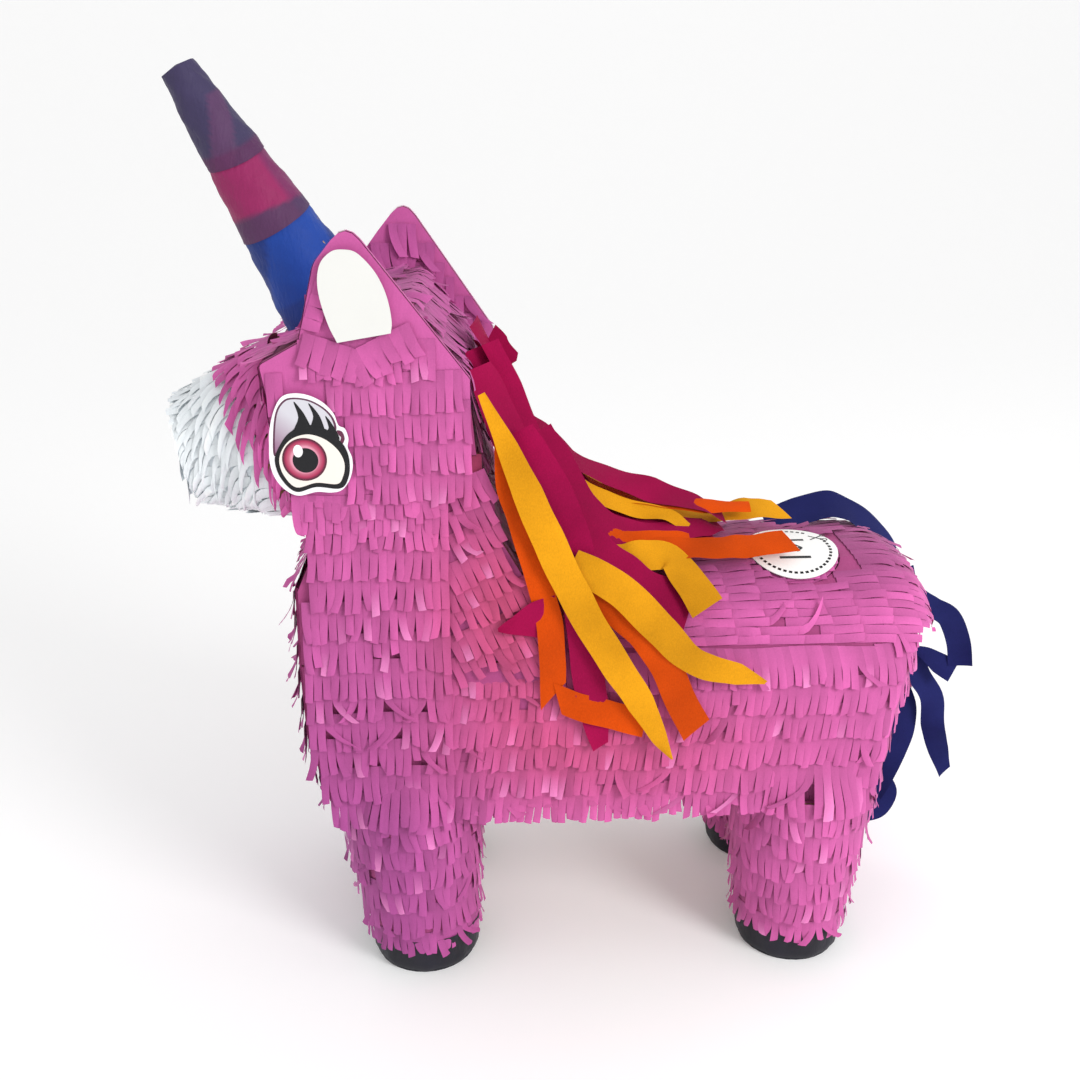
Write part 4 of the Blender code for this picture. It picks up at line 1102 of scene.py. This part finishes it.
def make_muzzle():
    white = Layer()
    white.node("muzzle_fringe", WHITE_SHADED_BACKING)
    top = MUZZLE_ROOT
    foot = MUZZLE_ROOT + MUZZLE_AXIS * MUZZLE_LENGTH
    chart = cone_chart(foot, top, 0.037 + TISSUE, 0.069 + TISSUE)
    # The ring angle that faces straight up
    turn = np.linspace(-pi, pi, 721)
    up = turn[np.argmax(chart.place(turn, np.full(721, 0.03))[:, 2])]
    scale = 0.055

    def sweep(u):
        return 0.75 * np.sin(u - up)

    def nose(points):
        """Room left before the end of the muzzle."""
        return np.maximum(MUZZLE_LENGTH + 0.004 - (points - top) @ MUZZLE_AXIS, 0.004)

    base = Cut(pitch=0.0088, length=0.026, header=0.30, messy=0.06, lean=4, lift=0.0026,
               curl=0.0006, scale_u=scale, sweep=sweep, colour=white_at, tone=0.05,
               stop=nose)
    for v in (0.024, 0.036, 0.048, 0.060, 0.071):
        strip(white, chart, up - pi, up + pi, lambda u: v + 0.010 * np.cos(u - up), base)
    cap = foot + MUZZLE_AXIS * 0.0020
    tilt = np.array([MUZZLE_AXIS[2], 0, -MUZZLE_AXIS[0]])
    down = -tilt if tilt[2] > 0 else tilt

    def place(u, v):
        return cap + np.stack([np.zeros_like(u), u, np.zeros_like(u)], -1) + v[..., None] * down
    face = Chart(place, (0, 0), MUZZLE_ROOT)
    for v in np.arange(-0.034, 0.030, 0.016):
        half = np.sqrt(max(0.039**2 - v**2, 0.0001))
        strip(white, face, -half, half, v,
              base.changed(scale_u=1.0, sweep=None, stop=None, length=0.019, messy=0.12))
    white.piece("muzzle_tissue", WHITE_TISSUE_LOOK, replaces=["muzzle_fringe"])

    pink = Layer()
    flow = base.changed(colour=bright_pink_at, tone=0.10, length=0.022, messy=0.05)
    for v in (-0.004, 0.006, 0.016):
        strip(pink, chart, up - 2.3, up + 2.3, lambda u: v + 0.016 * np.cos(u - up) - 0.006,
              flow.changed(base=0.0020))
    pink.piece("muzzle_root_tissue", PINK_TISSUE)


# Horn


HORN_FOOT = np.array([-0.1999, 0.0, 0.5067])
HORN_AXIS = np.array([-sin(HORN_LEAN), 0.0, cos(HORN_LEAN)])
HORN_LENGTH = 0.1885
NIGHT = linear(58, 50, 84)
PLUM = linear(98, 38, 86)
CRIMSON = linear(142, 30, 88)
BLUE = linear(16, 62, 150)
BLUE_DARK = linear(20, 44, 112)


def make_wrap(name, node, first, last, out, paint_at, slant, material, cap=False):
    """A cone of wound tissue with slanted edges and shallow creases."""
    layer = Layer()
    chart = cone_chart(HORN_FOOT, HORN_FOOT + HORN_AXIS * HORN_LENGTH, 0.0345 + out,
                       0.010 + out)
    turns = np.linspace(0, 2 * pi, 49)
    shares = np.linspace(0, 1, 26)
    u, t = np.meshgrid(turns, shares)
    low = first + slant[0] * np.cos(u - slant[2])
    high = last + slant[1] * np.cos(u - slant[2] - 0.6)
    share = np.clip(low + (high - low) * t, 0.0, 1.0)
    points = chart.place(u, HORN_LENGTH * (1 - share))
    crease = (0.0004 * np.sin(3 * u + 26 * share) + 0.0003 * np.sin(5 * u - 41 * share + 1.3)
              + 0.00028 * np.abs(np.sin(4 * u + 60 * share)) + 0.0002 * np.sin(9 * u - 75 * share))
    points = points + chart.normal(u, HORN_LENGTH * (1 - share)) * (crease + 0.0003)[..., None]
    layer.grids(points[None], paint_at(share, u)[None])
    if cap:
        rim = points[-1]
        middle = HORN_FOOT + HORN_AXIS * (HORN_LENGTH + 0.0024)
        rings = np.array([rim, rim * 0.45 + middle * 0.55, rim * 0.02 + middle * 0.98])
        layer.grids(rings[None], NIGHT * 0.8)
    layer.piece(name, material, replaces=[node])


def mixed(a, b, share):
    share = np.clip(share, 0, 1)[..., None]
    return a * (1 - share) + b * share


def make_horn():
    look = tissue_shader("horn_tissue_look", 0.62, 0.10, 0.03, 0.0022)

    def side_of(u):
        """1 on the side that faces the nose and the left, 0 behind."""
        return 0.5 + 0.5 * np.cos(u - 2.2)

    def blue(share, u):
        edge = np.clip((np.sin(u * 2 + 9 * share) - 0.35) * 6, 0, 1)
        return mixed(BLUE, BLUE_DARK, 0.75 * edge + 0.5 * (share < 0.1))

    def magenta(share, u):
        over = np.clip((0.435 + 0.02 * np.cos(u) - share) * 90, 0, 1)
        left = np.clip((np.cos(u - 2.9) - 0.55) * 8, 0, 1) * 0.7
        return mixed(mixed(CRIMSON, PLUM, left), NIGHT, over * 0.8)

    def violet(share, u):
        over = np.clip((0.70 + 0.03 * np.cos(u - 1) - share) * 60, 0, 1)
        patch = np.clip((np.sin(2.3 * u + 14 * share) - 0.3) * 5, 0, 1) * (share < 0.87)
        return mixed(mixed(NIGHT, linear(92, 54, 92), patch * 0.7), PLUM * 0.8, over * 0.7)
    make_wrap("horn_blue_tissue", "horn_blue_wrap", 0.0, 0.45, 0.0006, blue, (0, 0.02, 1.0), look)
    make_wrap("horn_magenta_tissue", "horn_magenta_wrap", 0.37, 0.70, 0.0013, magenta,
              (0.030, 0.03, 1.4), look)
    make_wrap("horn_violet_tissue", "horn_violet_wrap", 0.64, 1.0, 0.0021, violet,
              (0.035, 0.0, 1.0), look, cap=True)


PAPER = paper_shader("patch_paper_look", 0.55)
STICKER_PAPER = paper_shader("sticker_look", 0.32, 0.15)
WHITE_TISSUE_LOOK = tissue_shader("white_tissue_look", 0.7, 0.04, 0.2)
for side, word, lean_x in ((LEFT, "left", 0.0), (RIGHT, "right", RIGHT_EAR_LEAN)):
    make_patch(side, word, lean_x)
    make_eye(side, word)
    make_head(side, word)
make_crown()
make_muzzle()
make_horn()


# Fill flap


def make_flap():
    tissue = Layer()
    tissue.node("fill_flap_tissue", PINK)
    chart = arch_chart()

    def in_flap(points):
        return np.hypot(points[..., 0] - FILL_X, points[..., 1] + FILL_OFFSET) < 0.0345

    def room(points):
        away_y = points[..., 1] + FILL_OFFSET
        half = np.sqrt(np.maximum(FLAP_RADIUS**2 - away_y**2, 0.0))
        return np.maximum(half - (points[..., 0] - FILL_X), 0.003)
    short = Cut(pitch=0.0074, length=0.026, header=0.3, lean=1.5, messy=0, lift=0.0014,
                curl=0.0003, cup=0.0003, twist=3, stop=room)
    for x in (FILL_X - 0.034, FILL_X - 0.012, FILL_X + 0.010):
        strip(tissue, chart, -0.09, 0.02, x, short, in_flap)
    tissue.piece("fill_flap_tissue_look", PINK_TISSUE, "fill_flap", ["fill_flap_tissue"])

    label = Layer()
    lengths = np.linspace(-0.12, 0.12, 4001)
    ys = chart.place(lengths, np.zeros(4001))[:, 1]
    middle = float(np.interp(-FILL_OFFSET, ys, lengths))

    def lay(x, y, out):
        """Points of the label, in metres from its middle, laid on the back."""
        u = middle + np.asarray(y, float)
        v = FILL_X + np.asarray(x, float)
        return chart.place(u, v) + chart.normal(u, v) * out
    turn = np.linspace(0, 2 * pi, 73)
    radius = np.linspace(0.0005, 0.035, 9)
    r, a = np.meshgrid(radius, turn, indexing="ij")
    height = 0.0034
    layer_top = lay(r * np.cos(a), r * np.sin(a), height)
    label.grids(layer_top[None], linear(246, 246, 244))
    rim = np.stack([lay(0.035 * np.cos(turn), 0.035 * np.sin(turn), height - 0.0007),
                    lay(0.035 * np.cos(turn), 0.035 * np.sin(turn), height)])
    label.grids(rim[None], linear(232, 232, 230))

    def bar(x0, y0, x1, y1, width):
        """A printed dash between two points."""
        way = np.array([x1 - x0, y1 - y0])
        across = np.array([-way[1], way[0]]) / max(np.hypot(*way), 1e-9) * width / 2
        corners = np.array([(x0, y0) - across, (x1, y1) - across, (x1, y1) + across,
                            (x0, y0) + across])
        label.polygon(lay(corners[:, 0], corners[:, 1], height + 0.00015), INK)
    for angle in np.arange(0, 2 * pi, 2 * pi / 44):
        if abs((angle - 0.65 + pi) % (2 * pi) - pi) < 0.22:
            continue
        bar(0.0295 * cos(angle), 0.0295 * sin(angle), 0.0295 * cos(angle + 0.085),
            0.0295 * sin(angle + 0.085), 0.0022)
    for row, half in ((0.0125, 0.012), (-0.0125, 0.012)):
        bar(-half, row, half, row, 0.0028)
    bar(-0.016, 0, 0.008, 0, 0.0016)
    bar(0.008, 0, 0.003, 0.005, 0.0016)
    bar(0.008, 0, 0.003, -0.005, 0.0016)
    # Scissors on the cut line
    px, py = 0.0225, 0.0165
    bar(px - 0.005, py - 0.004, px + 0.005, py + 0.003, 0.0012)
    bar(px - 0.005, py + 0.003, px + 0.005, py - 0.004, 0.0012)
    for sign in (-1, 1):
        ring = np.linspace(0, 2 * pi, 9)[:-1]
        for first, second in zip(ring, np.roll(ring, -1)):
            bar(px + 0.0065 + 0.0018 * cos(first), py + sign * 0.0038 + 0.0018 * sin(first),
                px + 0.0065 + 0.0018 * cos(second), py + sign * 0.0038 + 0.0018 * sin(second),
                0.0008)
    label.piece("fill_label", STICKER_PAPER, "fill_flap", ["fill_sticker"], smooth=False)


make_flap()


# Streamers


MAGENTA = linear(146, 6, 64)
ORANGE = linear(202, 70, 1)
YELLOW = linear(214, 146, 18)
NAVY = linear(28, 32, 86)
COLOURS = {"magenta": MAGENTA, "orange": ORANGE, "yellow": YELLOW, "navy": NAVY}
CREPE = {name: crepe_shader(f"{name}_crepe_look") for name in COLOURS}


def ribbon_rows(path, width, facing, cuts=(0.0, 0.0), roll=(0.0, 0.0), columns=7):
    """A strip along a path given in millimetres; width may change along it."""
    line = arc_between(np.array(path, float) / 1000, 7)
    count = len(line)
    share = np.linspace(0, 1, count)
    widths = np.interp(share, np.linspace(0, 1, len(width)), width) / 1000
    facings = np.asarray(facing, float)
    if facings.ndim == 1:
        facings = np.repeat(facings[None], 2, 0)
    face = np.stack([np.interp(share, np.linspace(0, 1, len(facings)), facings[:, k])
                     for k in range(3)], -1)
    tangent = np.gradient(line, axis=0)
    tangent /= np.linalg.norm(tangent, axis=1, keepdims=True)
    across = np.cross(tangent, face)
    across /= np.linalg.norm(across, axis=1, keepdims=True)
    out = np.cross(across, tangent)
    angle = np.interp(share, np.linspace(0, 1, len(roll)), roll)[:, None]
    across, out = (across * np.cos(angle) + out * np.sin(angle),
                   out * np.cos(angle) - across * np.sin(angle))
    c = np.linspace(-1, 1, columns)[None, :, None]
    half = widths[:, None, None] / 2
    shear = np.zeros(count)
    shear += cuts[0] * np.clip(1 - share * 6, 0, 1) + cuts[1] * np.clip(share * 6 - 5, 0, 1)
    phase = RNG.uniform(0, 6.28, 4)
    length = np.linalg.norm(np.diff(line, axis=0), axis=1).sum()
    run = share[:, None] * length
    cc = c[0, :, 0][None]
    bump = (0.0007 * np.sin(run * 95 + phase[0] + 1.3 * cc) + 0.0005 * np.sin(run * 210 + phase[1])
            * cc + 0.0009 * (1 - cc**2) * np.sin(run * 40 + phase[2]))
    edge = 1 + 0.02 * np.sin(run * 160 + phase[3] + 2 * cc)[..., None]
    points = (line[:, None] + across[:, None] * c * half * edge
              + tangent[:, None] * shear[:, None, None] * c * half
              + out[:, None] * bump[..., None])
    return points, length


def streamer(name, colour, path, width, facing, body, replaces=(), hinge=None, rests_on=(),
             **shape):
    """One crepe ribbon. With a hinge it is left out of every body, its transform baked into the
    mesh.
    """
    points, length = ribbon_rows(path, width, facing, **shape)
    layer = Layer()
    tone = 1 + RNG.normal(0, 0.05)
    stripes = 1 + 0.10 * np.sin(np.linspace(0, length * 55, points.shape[0])
                                + RNG.uniform(0, 6))[:, None, None]
    layer.grids(points[None], (COLOURS[colour] * tone * stripes * np.ones(points.shape))[None])
    made = layer.piece(name, CREPE[colour], None if hinge else body, replaces)
    if hinge is not None:
        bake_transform(made)
    return made


OUTWARDS = (0, -1, 0.05)
MANE_HINGE = ((-0.05, -0.1, 0.372), (-0.05, -0.1, 0.345))


def make_left_mane():
    streamer("streamer_left_magenta", "magenta",
             [(-66, -90, 436), (-55, -98, 414), (-44, -103, 392), (-33, -106, 365),
              (-25, -110, 335), (-21, -113.5, 300), (-18, -115.5, 264), (-12, -117, 228),
              (-8, -117.5, 204)], (22, 30, 32, 30, 26, 24, 22, 12), OUTWARDS, "left_mane",
             ["mane_left_magenta"], MANE_HINGE, cuts=(0, 0.4))
    streamer("streamer_left_orange", "orange",
             [(-78, -98, 436), (-75, -102, 401), (-67, -106, 378), (-59, -108, 352),
              (-51, -111, 326), (-45, -114, 298), (-43.5, -115.5, 272), (-42.5, -115.5, 245)],
             (10, 14, 16, 17, 18, 19, 19, 19), OUTWARDS, "left_mane",
             ["mane_left_orange"], MANE_HINGE, cuts=(0, 1.15))
    streamer("streamer_left_orange_turn", "orange",
             [(-40, -117, 244), (-22, -117.6, 236.5), (0, -118, 230), (24, -118.5, 223)],
             (20, 21, 22, 23), OUTWARDS, "left_mane", cuts=(0.75, 0.12))
    streamer("streamer_left_orange_rear", "orange",
             [(-26, -113, 342), (-14, -114, 327), (4, -115, 309), (22, -117, 291),
              (37, -118, 269), (48, -118, 244), (62, -118, 216)],
             (18, 22, 22, 22, 23, 23, 24), OUTWARDS, "left_mane",
             ["mane_left_orange_rear"], cuts=(0, 0.25), roll=(0.1, 0, -0.1, 0.1))
    streamer("streamer_left_yellow_rear", "yellow",
             [(-30, -115, 347), (-14, -116, 339), (2, -117, 329), (18, -119, 314),
              (34, -121, 297), (50, -121, 279), (68, -121, 268), (90, -120, 262),
              (111, -119, 254)],
             (22, 23, 24, 24, 24, 22, 20, 16, 3), OUTWARDS, "left_mane",
             ["mane_left_yellow_rear"], cuts=(0, 0), roll=(0.15, 0.1, -0.1, 0.2))
    streamer("streamer_left_yellow", "yellow",
             [(-91, -98, 464), (-74, -104, 428), (-61, -110, 398), (-48, -114, 368),
              (-33, -119, 335), (-16, -123, 302), (3, -124, 270), (20, -124, 242),
              (34, -124, 214), (44, -124, 196)],
             (5, 15, 21, 23, 23, 23, 22, 20, 12, 1.5), OUTWARDS, "left_mane",
             ["mane_left_yellow"], MANE_HINGE, roll=(0, 0.15, -0.1, 0.1, 0))
    streamer("streamer_left_flag", "magenta",
             [(-40, -113, 306), (-56, -113, 304), (-70, -113, 300), (-82, -113, 297)],
             (33, 28, 14, 2), OUTWARDS, "left_mane")


def make_back_mane():
    up = (0, -0.25, 1)
    streamer("streamer_crest", "magenta",
             [(-96, -22, 500), (-82, -22, 474), (-71, -20, 446), (-66, -18, 418),
              (-60, -16, 398)], (34, 44, 50, 46, 30), (1, -0.2, 0.5), "carcass",
             ["mane_crest"], rests_on=["crest_panel"], roll=(0, 0.2, 0, -0.2))
    for number, (across, wide, top) in enumerate(((14, 40, 492), (42, 38, 486), (-48, 36, 490))):
        streamer(f"streamer_crest_{number}", "magenta",
                 [(-94, across, top), (-80, across * 0.95, top - 26),
                  (-72, across * 0.8, top - 52), (-66, across * 0.6, 418),
                  (-56, across * 0.45, 392)], (24, wide, wide + 4, wide, 26),
                 (1, 0.2, 0.5), "carcass", rests_on=["crest_panel"],
                 roll=(0.1, -0.2, 0.2, -0.1))
    streamer("streamer_crest_left", "magenta",
             [(-92, -74, 478), (-80, -80, 450), (-70, -85, 424), (-60, -90, 396),
              (-52, -93, 374)],
             (22, 30, 34, 36, 30), (0.7, -0.8, 0.3), "carcass", ["mane_left_root"])
    streamer("streamer_crest_side", "magenta",
             [(-90, -52, 488), (-78, -56, 456), (-68, -60, 428), (-58, -63, 404),
              (-54, -65, 393)], (26, 34, 38, 36, 26), (0.25, -1, 0.1), "carcass",
             roll=(0, 0.15, -0.1))
    streamer("streamer_crest_flag", "magenta",
             [(-88, -10, 480), (-76, -12, 474), (-64, -14, 472)], (34, 26, 6),
             (0.1, -1, 0.2), "carcass")
    streamer("streamer_back_magenta", "magenta",
             [(-61, 10, 414), (-43, 8, 405), (-22, 6, 388), (10, 4, 373), (42, 0, 363),
              (76, -4, 354), (97, -8, 343)],
             (56, 46, 36, 30, 27, 25, 20), up, "back_mane", ["mane_back_magenta"],
             cuts=(0, 0.3), roll=(0, 0.2, -0.2, 0.3))
    streamer("streamer_back_magenta_inner", "magenta",
             [(-60, -34, 414), (-42, -46, 392), (-20, -52, 366), (8, -48, 348), (42, -36, 341),
              (76, -20, 339), (94, -10, 336)],
             (52, 46, 36, 28, 24, 22, 16), (0, -0.6, 0.8), "back_mane", cuts=(0, -0.3),
             roll=(0, -0.1, 0.2, 0.4))
    streamer("streamer_back_magenta_low", "magenta",
             [(-58, -66, 396), (-40, -78, 368), (-18, -84, 342), (6, -86, 322), (30, -88, 308),
              (58, -90, 300)],
             (46, 46, 46, 44, 40, 42), (0, -0.75, 0.65), "back_mane", cuts=(0, -0.1),
             roll=(0, 0.1, -0.1, 0))
    streamer("streamer_back_magenta_under", "magenta",
             [(-56, -14, 400), (-34, -22, 380), (-6, -26, 355), (24, -28, 343),
              (54, -26, 338), (84, -18, 336)],
             (60, 56, 48, 44, 38, 30), (0, -0.35, 0.9), "back_mane", roll=(0, 0.1, -0.1, 0))
    streamer("streamer_back_orange_high", "orange",
             [(-58, 6, 409), (-34, 4, 390), (-6, 0, 368), (34, -4, 357), (76, -6, 352),
              (117, -8, 351)],
             (20, 22, 22, 21, 19, 14), up, "back_mane", roll=(0, 0.2, 0.1, -0.1))
    streamer("streamer_back_orange_mid", "orange",
             [(-56, -52, 398), (-38, -60, 376), (-14, -60, 351), (14, -54, 340), (44, -46, 338),
              (66, -42, 336)],
             (22, 24, 24, 23, 20, 16), (0, -0.6, 0.8), "back_mane", roll=(0, 0.1, 0, 0.2))
    streamer("streamer_back_yellow_thin", "yellow",
             [(-58, -10, 409), (-36, -16, 392), (-10, -20, 370), (22, -18, 355), (50, -20, 350),
              (66, -24, 340)],
             (12, 15, 17, 16, 13, 8), (0, -0.5, 0.9), "back_mane", roll=(0.2, 0, -0.2))
    streamer("streamer_back_yellow", "yellow",
             [(-56, 14, 405), (-30, 16, 380), (10, 16, 358), (56, 12, 345), (88, 6, 340),
              (118, 4, 346), (146, 8, 343)],
             (18, 22, 24, 25, 26, 27, 22), up, "back_mane", ["mane_back_yellow"],
             cuts=(0, 0.5), roll=(0, 0.1, 0.1, -0.2))
    streamer("streamer_back_yellow_loop", "yellow",
             [(-54, -62, 394), (-36, -70, 366), (-14, -74, 342), (10, -72, 334), (28, -68, 335),
              (46, -66, 332), (58, -80, 320), (70, -97, 304)],
             (18, 20, 22, 23, 24, 25, 26, 27), (0, -0.7, 0.75), "back_mane", cuts=(0, 0.1),
             roll=(0, 0.1, -0.2, 0.2, 0))
    streamer("streamer_back_orange", "orange",
             [(-54, -58, 394), (-36, -64, 362), (-14, -62, 340), (26, -58, 336), (56, -54, 335),
              (86, -53, 334), (110, -49, 334), (142, -43, 335)],
             (20, 22, 23, 23, 23, 23, 24, 25), (0, -0.4, 0.9), "back_mane",
             ["mane_back_orange"], cuts=(0, 0.2))


def make_tail():
    streamer("streamer_tail_top", "navy",
             [(138, 34, 327), (154, 34, 330), (170, 33, 334), (190, 32, 339), (204, 32, 336),
              (218, 31, 327), (234, 31, 314), (245, 31, 300), (250, 31, 286)],
             (20, 30, 34, 36, 38, 36, 32, 30), (0.25, -0.35, 1), "carcass", ["tail_top"],
             rests_on=["back_panel"])
    streamer("streamer_tail_curl", "navy",
             [(256, 26, 284), (262, 26, 265), (274, 25, 254), (288, 24, 247), (300, 22, 238),
              (309, 20, 218), (312, 18, 196)],
             (18, 20, 20, 20, 20, 20, 20), (-0.2, -1, 0.1), "tail", ["tail_curl"],
             roll=(0, 0.3, 0.6, 0.2, -0.2))
    streamer("streamer_tail_curl_end", "navy",
             [(308, 20, 190), (296, 23, 197), (284, 25, 205), (272, 27, 210)],
             (20, 18, 12, 5), (0.2, -1, 0.2), "tail")
    streamer("streamer_tail_long", "navy",
             [(256, 30, 280), (257, 30, 250), (262, 30, 222), (278, 31, 190), (296, 31, 160),
              (300, 30, 132), (308, 30, 108), (316, 30, 86)],
             (18, 20, 21, 22, 22, 20, 18, 12), (-0.1, -1, 0), "tail", ["tail_long"],
             cuts=(0, 0.5), roll=(0.4, 0, 0.5, -0.2, 0.3))
    streamer("streamer_tail_low", "navy",
             [(255, 38, 278), (254, 38, 240), (256, 38, 205), (266, 38, 172), (276, 38, 140),
              (272, 38, 108), (262, 38, 78), (250, 38, 50), (243, 38, 36)],
             (18, 20, 21, 22, 24, 22, 20, 18, 8), (-0.1, -1, 0), "tail", ["tail_low"],
             roll=(0.5, 0, 0.2, -0.3, 0.3))
    streamer("streamer_tail_low_end", "navy",
             [(262, 37, 74), (268, 36, 62), (262, 35, 46), (250, 35, 40)],
             (20, 18, 16, 12), (-0.1, -1, 0.2), "tail")


make_left_mane()
make_back_mane()
make_tail()


# Carried-over card


CARD = card_shader()
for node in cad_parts.values():
    node.data.materials.clear()
    node.data.materials.append(CARD)


# Floor and light


def add_backdrop():
    """A pale floor that curves up into a pale wall far behind."""
    mesh = bpy.data.meshes.new("backdrop")
    bend = np.linspace(0, pi / 2, 17)
    y = np.concatenate([[-6.0], 3.0 + 2.0 * np.sin(bend), [5.0]])
    z = np.concatenate([[0.0], 2.0 - 2.0 * np.cos(bend), [8.0]])
    points = [(x, *yz) for yz in zip(y, z) for x in (-8.0, 8.0)]
    faces = [(2 * i, 2 * i + 1, 2 * i + 3, 2 * i + 2) for i in range(len(y) - 1)]
    mesh.from_pydata(points, [], faces)
    mesh.polygons.foreach_set("use_smooth", [True] * len(faces))
    shader = Shader("backdrop_look", 1.0)
    shader.body.inputs["Base Color"].default_value = (0.96, 0.96, 0.96, 1)
    shader.body.inputs["Emission Color"].default_value = (1, 1, 1, 1)
    shader.body.inputs["Emission Strength"].default_value = 0.10
    shader.body.inputs["Specular IOR Level"].default_value = 0.0
    mesh.materials.append(shader.material)
    backdrop = bpy.data.objects.new("backdrop", mesh)
    bpy.context.scene.collection.objects.link(backdrop)


def add_light(name, place, target, size, power, colour=(1, 1, 1)):
    data = bpy.data.lights.new(name, "AREA")
    data.shape = "DISK"
    data.size = size
    data.energy = power
    data.color = colour
    light = bpy.data.objects.new(name, data)
    light.location = place
    way = Vector(target) - Vector(place)
    light.rotation_euler = way.to_track_quat("-Z", "Y").to_euler()
    bpy.context.scene.collection.objects.link(light)


def add_world(strength):
    world = bpy.data.worlds.new("studio")
    world.use_nodes = True
    background = world.node_tree.nodes["Background"]
    background.inputs["Color"].default_value = (1, 1, 1, 1)
    background.inputs["Strength"].default_value = strength
    bpy.context.scene.world = world


add_backdrop()
add_world(0.82)
add_light("key", (1.3, -1.5, 1.25), (0.05, 0, 0.25), 0.9, 26)
bpy.context.scene.view_settings.view_transform = "Standard"
